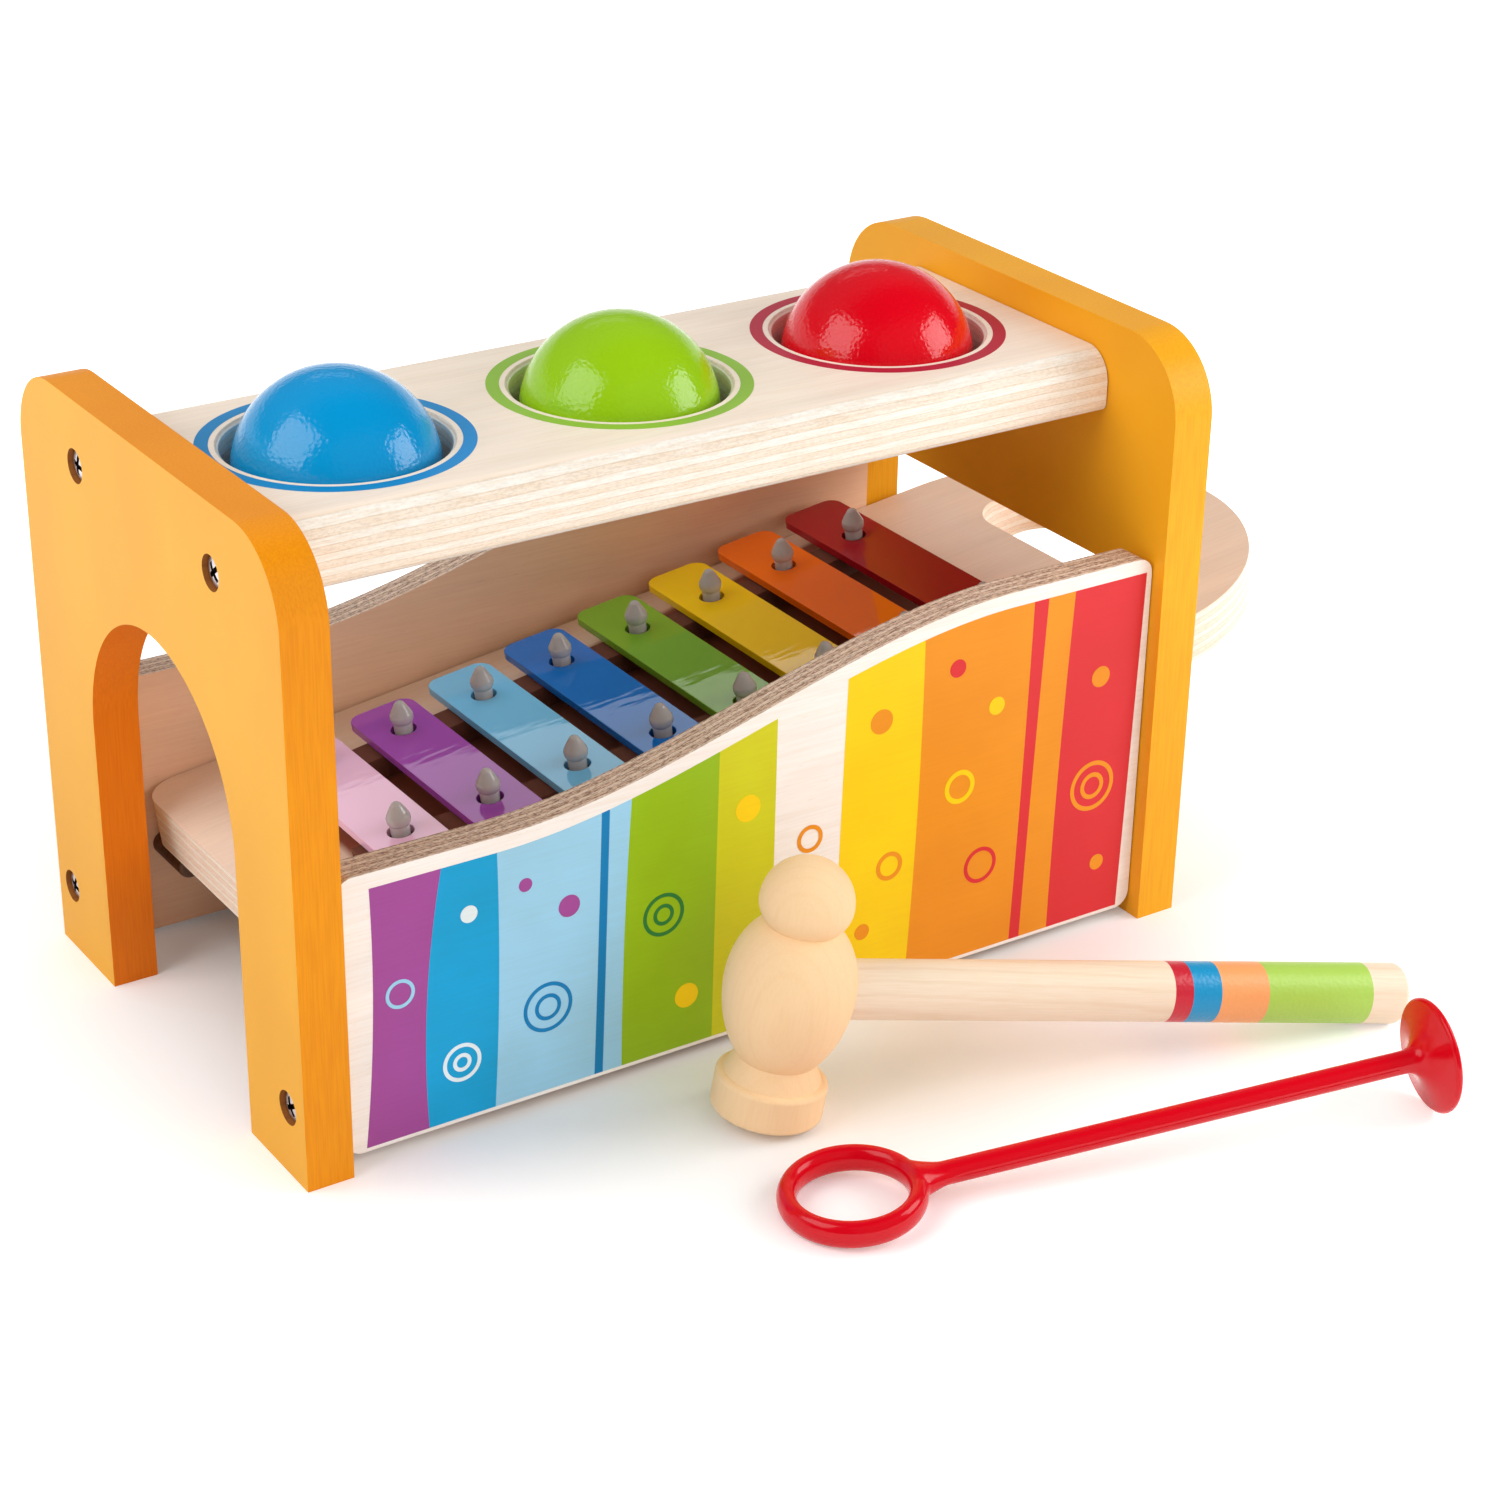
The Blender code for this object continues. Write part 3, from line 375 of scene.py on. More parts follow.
@dataclass(frozen=True)
class Plywood(Finish):
    """Sanded and clear-coated birch plywood: a pale veneer, and crossed layers on every cut edge.

    Attributes:
        start: Where the first layer starts along its axis, in millimetres.
        pitch: The thickness of a layer in millimetres.
        thick: The axis that the layers are stacked along.
        long_grain: The colour of a layer cut along its grain.
        end_grain: The colour of a layer cut across its grain.
        glue: The colour of the thin line between two layers.
        contrast: How strongly the open pores of the cut edge show, from 0 to 1.
        dash: The colour of those pores.
        painted_key_shade: The colour of a strip of painted shade under the keys, or nothing.
    """

    start: float = 0
    pitch: float = 1.5
    thick: Axis = Axis.Y
    long_grain: str = "F8E4D2"
    end_grain: str = "E8CBB4"
    glue: str = "A67C62"
    contrast: float = 0.7
    dash: str = "7E5244"
    painted_key_shade: str = ""

    def dress(self, surface: Surface) -> None:
        """Adds the veneer to the faces and the layers to the edges.

        Args:
            surface: What the nodes are added to.
        """
        face, fibres = self.veneer(surface)
        edge, pores = self.layers(surface)
        share = surface.facing(self.thick, 0.93, 0.97)
        # A strip of painted shade darkens the wood under the keys.
        if self.painted_key_shade:
            strip = {0: self.under_keys(surface), 6: face, 7: self.painted_key_shade}
            face = surface.add("ShaderNodeMix", strip, data_type="RGBA")
        colour = surface.add("ShaderNodeMix", {0: share, 6: edge, 7: face}, data_type="RGBA")
        height = surface.add("ShaderNodeMix", {0: share, 2: pores, 3: fibres})
        surface.raised(height, 0.06, 0.35, Base_Color=colour)

    def under_keys(self, surface: Surface) -> Node:
        """Adds a mask of the strip of painted shade under the keys, which widens up the slope.

        Args:
            surface: What the nodes are added to.

        Returns:
            1 on the strip, and 0 beside it.
        """
        x, y, _ = surface.add("ShaderNodeSeparateXYZ", {0: surface.spot}).outputs
        widening, half_width = 0.1087, 36.6 * MM
        line = {0: x, 1: widening, 2: half_width}
        limit = surface.add("ShaderNodeMath", line, operation="MULTIPLY_ADD")
        out = surface.add("ShaderNodeMath", {0: y}, operation="ABSOLUTE")
        depth = surface.add("ShaderNodeMath", {0: limit, 1: out}, operation="SUBTRACT")
        low_end, high_end, soft = -77 * MM, 92 * MM, 2 * MM
        return surface.within(
            ((depth, 0, soft), (x, low_end, low_end + soft), (x, high_end, high_end - soft))
        )

    def veneer(self, surface: Surface) -> tuple[Node, Node]:
        """Adds the figure of a face: slow waves, fibres and short flecks along X.

        Args:
            surface: What the nodes are added to.

        Returns:
            The colour and the height.
        """
        fibres = surface.grain((16, 0.55, 0.55))
        waves = surface.grain((60, 9, 9), 2)
        flecks = surface.grain((3.2, 0.35, 0.35), 1)
        channels = [round(int(self.colour[i : i + 2], 16) * 0.965) for i in (0, 2, 4)]
        darker = "".join(f"{channel:02X}" for channel in channels)
        stops = ((0.3, self.colour), (0.7, darker))
        colour = surface.add("ShaderNodeValToRGB", {0: waves}, stops)
        colour = surface.tinted(colour, fibres, ((0.35, "F4EAE0"), (0.6, WHITE)), 0.4)
        return surface.tinted(colour, flecks, ((0.22, "E8D6C2"), (0.3, WHITE)), 0.35), fibres

    def layers(self, surface: Surface) -> tuple[Node, Node]:
        """Adds the crossed layers of a cut edge, with their pores drawn coarse enough to show.

        Args:
            surface: What the nodes are added to.

        Returns:
            The colour and the height.
        """
        axis = self.thick.value
        across = surface.add("ShaderNodeSeparateXYZ", {0: surface.spot}).outputs[axis]
        span = {"From Min": self.start * MM, "From Max": (self.start + self.pitch) * MM}
        depth = surface.add("ShaderNodeMapRange", {0: across, **span}, clamp=False)
        wobble = {0: surface.grain((30, 30, 30), 2), 1: 0.45, 2: depth}
        bent = surface.add("ShaderNodeMath", wobble, operation="MULTIPLY_ADD")
        # One turn of the pattern is two layers, one along its grain and one across it.
        pairs = surface.add("ShaderNodeMath", {0: bent, 1: 0.5}, operation="MULTIPLY")
        turn = surface.add("ShaderNodeMath", {0: pairs}, operation="FRACT")
        pore, streak = [1.2] * 3, [7.0] * 3
        pore[axis], streak[axis] = 0.32, 0.28
        pores = surface.grain(pore, 2)
        streaks = surface.grain(streak, 2)
        along, ends, glue = self.long_grain, self.end_grain, self.glue
        bands = ((0, glue), (0.05, along), (0.44, along), (0.5, glue), (0.56, ends), (0.95, ends))
        colour = surface.add("ShaderNodeValToRGB", {0: turn}, (*bands, (1, glue)))
        limits = {"From Min": 0.46, "From Max": 0.54, "To Min": self.contrast * 0.65}
        marked = surface.add("ShaderNodeMapRange", {0: turn, **limits, "To Max": self.contrast})
        colour = surface.tinted(colour, pores, ((0.44, self.dash), (0.5, WHITE)), marked)
        return surface.tinted(colour, streaks, ((0.3, "EFDFCB"), (0.62, WHITE)), 0.6), pores


@dataclass(frozen=True)
class TurnedWood(Finish):
    """Sanded, clear-coated hardwood turned on a lathe, with its grain along X of its frame.

    Attributes:
        line: The colour of a growth line.
        figure: How strongly the growth lines show, from 0 to 1.
    """

    line: str = "E3BC8A"
    figure: float = 0.5

    def dress(self, surface: Surface) -> None:
        """Adds growth rings cut at a slant, and fine pores along the grain.

        Args:
            surface: What the nodes are added to.
        """
        # The pith lies beside the piece and leans to it, which gives the arches of a flat cut.
        lean = {"Location": (0, 21 * MM, -9 * MM), "Rotation": (0, 0.06, 0.1)}
        pith = surface.add("ShaderNodeMapping", {"Vector": surface.spot, **lean})
        # A scale of 105 sets the growth lines about 3 mm apart.
        wave = {"Vector": pith, "Scale": 105, "Distortion": 1.6, "Detail Scale": 0.6}
        rings = surface.add("ShaderNodeTexWave", wave, wave_type="RINGS", rings_direction="X")
        stops = ((0.02, self.line), (0.22, self.colour))
        growth = surface.add("ShaderNodeValToRGB", {0: rings.outputs["Fac"]}, stops)
        both = {0: self.figure, 6: self.colour, 7: growth}
        colour = surface.add("ShaderNodeMix", both, data_type="RGBA")
        pores = surface.grain((9, 0.4, 0.4))
        colour = surface.tinted(colour, pores, ((0.34, "F0DFC8"), (0.58, WHITE)), self.figure)
        surface.raised(pores, 0.03, 0.25, Base_Color=colour, Specular_IOR_Level=0.35)


@dataclass(frozen=True)
class GlossLacquer(Finish):
    """Dipped gloss lacquer on wood: orange peel breaks the edge of each highlight."""

    def dress(self, surface: Surface) -> None:
        """Adds the orange peel, drawn as coarse as a highlight needs to show it."""
        surface.raised(surface.grain((0.85, 0.85, 0.85), 0.6), 0.16, 0.6, Specular_IOR_Level=0.45)


@dataclass(frozen=True)
class Enamel(Finish):
    """Gloss enamel baked on a steel plate: a clear reflection that wavers slightly."""

    def dress(self, surface: Surface) -> None:
        """Adds the slow waver of a rolled plate."""
        surface.raised(surface.grain((7, 2.2, 5), 0.6), 0.016, 0.3, IOR=1.54)


@dataclass(frozen=True)
class MouldedPlastic(Finish):
    """Injection-moulded plastic: a gloss skin with faint flow marks.

    Attributes:
        cloudy: How far light travels inside an unfilled plastic, in millimetres.
    """

    cloudy: float = 0

    def dress(self, surface: Surface) -> None:
        """Adds the flow marks and the milky depth.

        Args:
            surface: What the nodes are added to.
        """
        skin = {"IOR": 1.5, "Specular IOR Level": 0.3}
        if self.cloudy:
            skin = {"IOR": 1.5, "Subsurface Weight": 0.6, "Subsurface Scale": self.cloudy * MM}
            skin["Subsurface Radius"] = (1, 0.85, 0.8)
        surface.feed(surface.shader, skin)
        surface.raised(surface.grain((4, 4, 4), 2), 0.06, 0.3)


@dataclass(frozen=True)
class PlatedSteel(Finish):
    """Bright zinc plating on a pressed screw head: a soft metal sheen with fine pits."""

    def dress(self, surface: Surface) -> None:
        """Adds the metal and its pits."""
        surface.raised(surface.grain((0.3, 0.3, 0.3), 2), 0.02, 0.4, Metallic=1)


@dataclass(frozen=True)
class Felt(Finish):
    """Pressed wool felt, or soft rubber: dull, with a fine nap.

    Attributes:
        nap: The size of the nap in millimetres.
    """

    nap: float = 0.5

    def dress(self, surface: Surface) -> None:
        """Adds the nap, with lighter hairs.

        Args:
            surface: What the nodes are added to.
        """
        fibres = surface.grain((self.nap,) * 3, 4)
        stops = ((0.35, self.colour), (0.7, "7A4836"))
        hairs = surface.add("ShaderNodeValToRGB", {0: fibres}, stops)
        both = {0: 0.25, 6: self.colour, 7: hairs}
        colour = surface.add("ShaderNodeMix", both, data_type="RGBA")
        surface.raised(fibres, 0.2, 0.5, Base_Color=colour)


@dataclass(frozen=True)
class Ink(Finish):
    """Screen-printed ink under clear lacquer: an even colour with the wood's grain beneath it."""

    def dress(self, surface: Surface) -> None:
        """Adds the cloud and the grain that show through the ink.

        Args:
            surface: What the nodes are added to.
        """
        fibres = surface.grain((18, 0.6, 0.6))
        cloud = surface.grain((26, 26, 26), 2)
        colour = surface.tinted(self.colour, cloud, ((0.3, WHITE), (0.7, "F7F2EC")), 1)
        colour = surface.tinted(colour, fibres, ((0.38, "F6EFE6"), (0.58, WHITE)), 0.2)
        surface.raised(fibres, 0.02, 0.12, Base_Color=colour, Specular_IOR_Level=0.22)


# Meshes


def arc(centre: Point, radii: Point, start: float, end: float, steps: int) -> Outline:
    """Returns points along an elliptical arc, both ends included.

    Args:
        centre: Its centre.
        radii: Its radii along the two axes.
        start: The first angle, in radians.
        end: The last angle, in radians.
        steps: The number of chords.

    Returns:
        The points.
    """
    (x, y), (wide, high) = centre, radii
    angles = [start + (end - start) * step / steps for step in range(steps + 1)]
    return [(x + wide * math.cos(angle), y + high * math.sin(angle)) for angle in angles]


def rounded(corners: Sequence[tuple[float, float, float]], steps: int = 10) -> Outline:
    """Returns the closed outline through corners, each rounded by its own radius.

    Args:
        corners: Each corner's place and radius.
        steps: The number of chords in a corner.

    Returns:
        The outline's points.
    """
    points = []
    for index, (x, y, radius) in enumerate(corners):
        corner = Vector((x, y))
        if radius == 0:
            points.append((x, y))
            continue
        back = (Vector(corners[index - 1][:2]) - corner).normalized()
        ahead = (Vector(corners[(index + 1) % len(corners)][:2]) - corner).normalized()
        half = back.angle(ahead) / 2
        centre = corner + (back + ahead).normalized() * radius / math.sin(half)
        spoke = corner + back * radius / math.tan(half) - centre
        sweep = math.copysign(math.pi - 2 * half, -back.cross(ahead))
        for step in range(steps + 1):
            points.append(tuple(centre + Matrix.Rotation(sweep * step / steps, 2) @ spoke))
    return points


def rectangle(centre: Point, size: Point, radius: float) -> Outline:
    """Returns a rectangle with round corners.

    Args:
        centre: Its centre.
        size: Its width and height.
        radius: The radius of its corners.

    Returns:
        The outline's points.
    """
    x, y = size[0] / 2, size[1] / 2
    signs = ((-1, -1), (1, -1), (1, 1), (-1, 1))
    return rounded([(centre[0] + sx * x, centre[1] + sy * y, radius) for sx, sy in signs])


def new_object(name: str, data: bpy.types.ID) -> Thing:
    """Adds an object for a mesh, a curve, a camera or a lamp to the scene.

    Args:
        name: Its name.
        data: What it shows.

    Returns:
        The object.
    """
    thing = bpy.data.objects.new(name, data)
    bpy.context.scene.collection.objects.link(thing)
    return thing


def evaluated_mesh(thing: Thing) -> Mesh:
    """Returns a copy of an object's mesh as its modifiers leave it.

    Args:
        thing: The object.

    Returns:
        The mesh.
    """
    bpy.context.view_layer.update()
    graph = bpy.context.evaluated_depsgraph_get()
    return bpy.data.meshes.new_from_object(thing.evaluated_get(graph))


def bake_modifiers(thing: Thing) -> Thing:
    """Puts an object's modifiers into its mesh.

    Args:
        thing: The object.

    Returns:
        The same object.
    """
    mesh = evaluated_mesh(thing)
    thing.modifiers.clear()
    thing.data = mesh
    return thing


def clean(mesh: Mesh) -> None:
    """Merges a mesh's doubles and points its faces outwards.

    Args:
        mesh: The mesh.
    """
    shell = bmesh.new()
    shell.from_mesh(mesh)
    bmesh.ops.remove_doubles(shell, verts=shell.verts, dist=0.001 * MM)
    bmesh.ops.recalc_face_normals(shell, faces=shell.faces)
    shell.to_mesh(mesh)
    shell.free()


def plate(name: str, outlines: Sequence[Outline], thickness: float) -> Thing:
    """Makes a flat plate of an outline with holes, centred on its own middle plane.

    Args:
        name: The object's name.
        outlines: The outer outline, then its holes, in millimetres.
        thickness: Its thickness in millimetres.

    Returns:
        The plate.
    """
    curve = bpy.data.curves.new(name, "CURVE")
    curve.dimensions = "2D"
    curve.fill_mode = "BOTH"
    curve.extrude = thickness / 2 * MM
    for outline in outlines:
        spline = curve.splines.new("POLY")
        spline.points.add(len(outline) - 1)
        spline.use_cyclic_u = True
        for point, (x, y) in zip(spline.points, outline):
            point.co = (x * MM, y * MM, 0, 1)
    guide = new_object(name + "_guide", curve)
    mesh = evaluated_mesh(guide)
    bpy.data.objects.remove(guide)
    bpy.data.curves.remove(curve)
    clean(mesh)
    mesh.name = name
    return new_object(name, mesh)


def turned(name: str, profile: Outline, steps: int, colours: Sequence[int] = ()) -> Thing:
    """Turns a profile about Z into a closed piece.

    Args:
        name: The object's name.
        profile: Radii and heights in millimetres, from one end to the other.
        steps: How many facets go round.
        colours: The material number of each band between two profile points, if not 0.

    Returns:
        The turned piece.
    """
    verts, faces, marks = [], [], []
    angles = [2 * math.pi * step / steps for step in range(steps)]
    for radius, height in profile:
        verts += [Vector((radius * math.cos(a), radius * math.sin(a), height)) * MM for a in angles]
    for row in range(len(profile) - 1):
        low, high = row * steps, (row + 1) * steps
        for step in range(steps):
            ahead = (step + 1) % steps
            faces.append((low + step, low + ahead, high + ahead, high + step))
            marks.append(colours[row] if colours else 0)
    mesh = bpy.data.meshes.new(name)
    mesh.from_pydata(verts, [], faces)
    mesh.polygons.foreach_set("material_index", marks)
    clean(mesh)
    return new_object(name, mesh)


def soften(thing: Thing, radius: float, segments: int) -> Thing:
    """Rounds the sharp edges of a piece and keeps its flat faces flat.

    Args:
        thing: The piece.
        radius: The radius in millimetres.
        segments: The number of chords across the rounding.

    Returns:
        The same piece, with the rounding in its mesh.
    """
    bevel = thing.modifiers.new("round_edges", "BEVEL")
    bevel.width = radius * MM
    bevel.segments = segments
    bevel.limit_method = "ANGLE"
    bevel.angle_limit = math.radians(40)
    return bake_modifiers(thing)


def cut(thing: Thing, tool: Thing) -> None:
    """Cuts one object from another and removes it.

    Args:
        thing: The object that is cut.
        tool: The object that cuts it.
    """
    boolean = thing.modifiers.new("cut", "BOOLEAN")
    boolean.operation = "DIFFERENCE"
    boolean.solver = "EXACT"
    boolean.object = tool
    bake_modifiers(thing)
    bpy.data.objects.remove(tool)


def join(name: str, things: Sequence[Thing]) -> Thing:
    """Joins several objects into one new object and removes them.

    Args:
        name: The new object's name.
        things: The objects, which share the first one's materials.

    Returns:
        The new object.
    """
    whole = bmesh.new()
    for thing in things:
        whole.from_mesh(thing.data)
        bpy.data.objects.remove(thing)
    mesh = bpy.data.meshes.new(name)
    whole.to_mesh(mesh)
    whole.free()
    return new_object(name, mesh)


def settle(thing: Thing, place: Matrix) -> Thing:
    """Puts an object's place into its mesh, so that the object itself stays at the origin.

    Args:
        thing: The object.
        place: Its place.

    Returns:
        The same object.
    """
    thing.data.transform(place)
    thing.data.update()
    return thing


def hand_over(
    thing: Thing,
    body: str,
    finishes: Sequence[Finish],
    nodes: Sequence[str] = (),
    crease: float = 35,
) -> None:
    """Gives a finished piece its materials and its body.

    Args:
        thing: The piece, with its place in its mesh.
        body: The body that it rides on.
        finishes: Its finishes, in the order of its material numbers.
        nodes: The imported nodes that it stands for.
        crease: The angle in degrees from which an edge stays sharp.
    """
    marks = [polygon.material_index for polygon in thing.data.polygons]
    thing.data.materials.clear()
    for finish in finishes:
        thing.data.materials.append(finish.material())
    thing.data.polygons.foreach_set("material_index", marks)
    thing.data.shade_smooth()
    thing.data.set_sharp_from_angle(angle=math.radians(crease))
    thing.modifiers.new("flat_faces", "WEIGHTED_NORMAL").keep_sharp = True
    bake_modifiers(thing)
    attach(thing, body)
    if nodes:
        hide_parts(*nodes)
    log.info("%s: %d faces, on %s", thing.name, len(thing.data.polygons), body)


# Geometry node trees


class Tree(Graph):
    """A geometry node tree with named sizes, ending in Realize Instances and Set Material."""

    def __init__(self, name: str, sizes: dict[str, float]) -> None:
        """Starts the tree.

        Args:
            name: The tree's name.
            sizes: The inputs' names and default values, in millimetres or as counts.
        """
        super().__init__(bpy.data.node_groups.new(name, "GeometryNodeTree"))
        face = self.tree.interface
        face.new_socket("Geometry", in_out="INPUT", socket_type="NodeSocketGeometry")
        for size, value in sizes.items():
            if isinstance(value, int):
                count = face.new_socket(size, in_out="INPUT", socket_type="NodeSocketInt")
                count.default_value = value
            else:
                length = face.new_socket(size, in_out="INPUT", socket_type="NodeSocketFloat")
                length.default_value = value * MM
        face.new_socket("Material", in_out="INPUT", socket_type="NodeSocketMaterial")
        face.new_socket("Geometry", in_out="OUTPUT", socket_type="NodeSocketGeometry")
        self.inputs = self.add("NodeGroupInput").outputs

    def flat_plate(self, outlines: list[Input], height: Socket) -> Node:
        """Adds a closed flat plate between closed curves.

        Args:
            outlines: The outer curve and its holes.
            height: How far it rises.

        Returns:
            The plate.
        """
        outline = self.add("GeometryNodeJoinGeometry", {0: outlines})
        filled = self.add("GeometryNodeFillCurve", {"Curve": outline}, mode="NGONS")
        rise = {"Mesh": filled, "Offset Scale": height, "Individual": False}
        tall = self.add("GeometryNodeExtrudeMesh", rise, mode="FACES")
        under = self.add("GeometryNodeFlipFaces", {"Mesh": filled})
        both = self.add("GeometryNodeJoinGeometry", {0: [under, tall]})
        return self.add("GeometryNodeMergeByDistance", {"Geometry": both, "Distance": 0.001 * MM})

    def end(self, piece: Node, on_points: bool = True) -> "Tree":
        """Closes the tree with Realize Instances and Set Material.

        Args:
            piece: What the tree makes.
            on_points: Whether a copy stands on each point, turned by its attribute "turn".

        Returns:
            The tree.
        """
        if on_points:
            turn = self.add(
                "GeometryNodeInputNamedAttribute", {"Name": "turn"}, data_type="FLOAT_VECTOR"
            )
            copies = {"Points": self.inputs["Geometry"], "Instance": piece, "Rotation": turn}
            piece = self.add("GeometryNodeInstanceOnPoints", copies)
        real = self.add("GeometryNodeRealizeInstances", {"Geometry": piece})
        dress = {"Geometry": real, "Material": self.inputs["Material"]}
        dressed = self.add("GeometryNodeSetMaterial", dress)
        self.add("NodeGroupOutput", {"Geometry": dressed})
        return self

    def grow(self, name: str, mesh: Mesh, finish: Finish, **sizes: float) -> Thing:
        """Runs the tree on a mesh and returns the result as a plain object.

        Args:
            name: The new object's name.
            mesh: What the tree starts from.
            finish: The material that the tree sets.
            sizes: The named inputs that differ from their defaults, in millimetres.

        Returns:
            The new object.
        """
        thing = new_object(name, mesh)
        modifier = thing.modifiers.new(self.tree.name, "NODES")
        modifier.node_group = self.tree
        for socket in self.tree.interface.items_tree:
            if socket.in_out == "INPUT" and socket.name in sizes:
                modifier[socket.identifier] = sizes[socket.name] * MM
            elif socket.in_out == "INPUT" and socket.name == "Material":
                modifier[socket.identifier] = finish.material()
        return bake_modifiers(thing)


def points_mesh(
    name: str, places: Sequence[Sequence[float]], turns: Sequence[Sequence[float]] = ()
) -> Mesh:
    """Makes a mesh of loose points for a tree to put copies on.

    Args:
        name: The mesh's name.
        places: The points in millimetres.
        turns: Each copy's rotation as three angles, kept in the attribute "turn".

    Returns:
        The mesh.
    """
    mesh = bpy.data.meshes.new(name)
    mesh.from_pydata([Vector(place) * MM for place in places], [], [])
    if turns:
        attribute = mesh.attributes.new("turn", "FLOAT_VECTOR", "POINT")
        attribute.data.foreach_set("vector", [angle for turn in turns for angle in turn])
    return mesh


def screw_tree() -> Tree:
    """Returns the tree of a cross-head screw on each point, with its crown's top at the point.

    Returns:
        The tree.
    """
    head = {"Head Radius": 3.4, "Head Height": 1.6, "Crown": 0.6}
    shank = {"Shank Radius": 1.75, "Length": 20.0}
    cross = {"Cross Span": 4.4, "Cross Width": 1.15, "Cross Depth": 1.3}
    tree = Tree("cross_head_screw", {**head, **shank, **cross})
    got = tree.inputs
    size = {"Vertices": 36, "Fill Segments": 8, "Radius": got["Head Radius"]}
    size |= {"Side Segments": 1, "Depth": got["Head Height"]}
    disc = tree.add("GeometryNodeMeshCylinder", size, fill_type="TRIANGLE_FAN")
    # The upper face rises to the crown as a shallow bowl turned over.
    spot = tree.add("GeometryNodeInputPosition")
    split = tree.add("ShaderNodeSeparateXYZ", {0: spot}).outputs
    flat = tree.add("ShaderNodeVectorMath", {0: spot, 1: (1, 1, 0)}, operation="MULTIPLY")
    reach = tree.add("ShaderNodeVectorMath", {0: flat}, operation="LENGTH")
    share = tree.add("ShaderNodeMath", {0: reach, 1: got["Head Radius"]}, operation="DIVIDE")
    square = tree.add("ShaderNodeMath", {0: share, 1: 2}, operation="POWER")
    bowl = tree.add("ShaderNodeMath", {0: 1, 1: square}, operation="SUBTRACT")
    above = tree.add("ShaderNodeMath", {0: split[2], 1: 0}, operation="GREATER_THAN")
    upper = tree.add("ShaderNodeMath", {0: bowl, 1: above}, operation="MULTIPLY")
    half = tree.add("ShaderNodeMath", {0: got["Head Height"], 1: -0.5}, operation="MULTIPLY")
    drop = tree.add("ShaderNodeMath", {0: half, 1: got["Crown"]}, operation="SUBTRACT")
    rise = {0: upper, 1: got["Crown"], 2: drop}
    lift = tree.add("ShaderNodeMath", rise, operation="MULTIPLY_ADD")
    offset = tree.add("ShaderNodeCombineXYZ", {2: lift})
    dome = tree.add("GeometryNodeSetPosition", {"Geometry": disc, "Offset": offset})
    deep = tree.add("ShaderNodeMath", {0: got["Cross Depth"], 1: 2}, operation="MULTIPLY")
    arms: list[Input] = []
    for x, y in (("Cross Span", "Cross Width"), ("Cross Width", "Cross Span")):
        block = tree.add("ShaderNodeCombineXYZ", {0: got[x], 1: got[y], 2: deep})
        arms.append(tree.add("GeometryNodeMeshCube", {"Size": block}))
    slotted = tree.add("GeometryNodeMeshBoolean", {0: dome, 1: arms})
    size = {"Vertices": 20, "Radius": got["Shank Radius"], "Depth": got["Length"]}
    rod = tree.add("GeometryNodeMeshCylinder", size)
    under = {0: got["Length"], 1: -0.5, 2: drop}
    middle = tree.add("ShaderNodeMath", under, operation="MULTIPLY_ADD")
    place = tree.add("ShaderNodeCombineXYZ", {2: middle})
    stem = tree.add("GeometryNodeTransform", {"Geometry": rod, "Translation": place})
    return tree.end(tree.add("GeometryNodeJoinGeometry", {0: [slotted, stem]}))


def post_tree() -> Tree:
    """Returns the tree of a round post on each point, whose width follows a curve up its height.

    Returns:
        The tree.
    """
    tree = Tree("egg_headed_post", {"Radius": 2.75, "Depth": 8.0, "Height": 15.5})
    got = tree.inputs
    low = tree.add("ShaderNodeMath", {0: got["Depth"], 1: -1}, operation="MULTIPLY")
    ends = [tree.add("ShaderNodeCombineXYZ", {2: height}) for height in (low, got["Height"])]
    line = tree.add("GeometryNodeCurvePrimitiveLine", {"Start": ends[0], "End": ends[1]})
    fine = tree.add("GeometryNodeResampleCurve", {"Curve": line, "Count": 96})
    along = tree.add("GeometryNodeSplineParameter").outputs["Factor"]
    shape = tree.add("ShaderNodeFloatCurve", {"Value": along})
    points = shape.mapping.curves[0].points
    # Shank, collar, waist, egg and tip, as shares of the height and of the widest radius
    profile = (
        (0.0, 0.0), (0.004, 0.76), (0.68, 0.79), (0.752, 0.81), (0.762, 0.76), (0.772, 0.86),
        (0.798, 0.97), (0.829, 1.0), (0.876, 0.88), (0.922, 0.68), (0.953, 0.53), (0.975, 0.42),
        (0.991, 0.27), (0.997, 0.15), (1.0, 0.0),
    )  # fmt: skip
    while len(points) < len(profile):
        points.new(0.5, 0.5)
    for point, place in zip(points, profile):
        point.location = place
        point.handle_type = "AUTO_CLAMPED"
    shape.mapping.update()
    wide = tree.add("ShaderNodeMath", {0: shape, 1: got["Radius"]}, operation="MULTIPLY")
    size = {"Resolution": 28, "Radius": 1}
    ring = tree.add("GeometryNodeCurvePrimitiveCircle", size, mode="RADIUS")
    path = tree.add("GeometryNodeSetCurveRadius", {"Curve": fine, "Radius": wide})
    sweep = {"Curve": path, "Profile Curve": ring, "Scale": wide, "Fill Caps": True}
    skin = tree.add("GeometryNodeCurveToMesh", sweep)
    closed = {"Geometry": skin, "Distance": 0.02 * MM}
    return tree.end(tree.add("GeometryNodeMergeByDistance", closed))


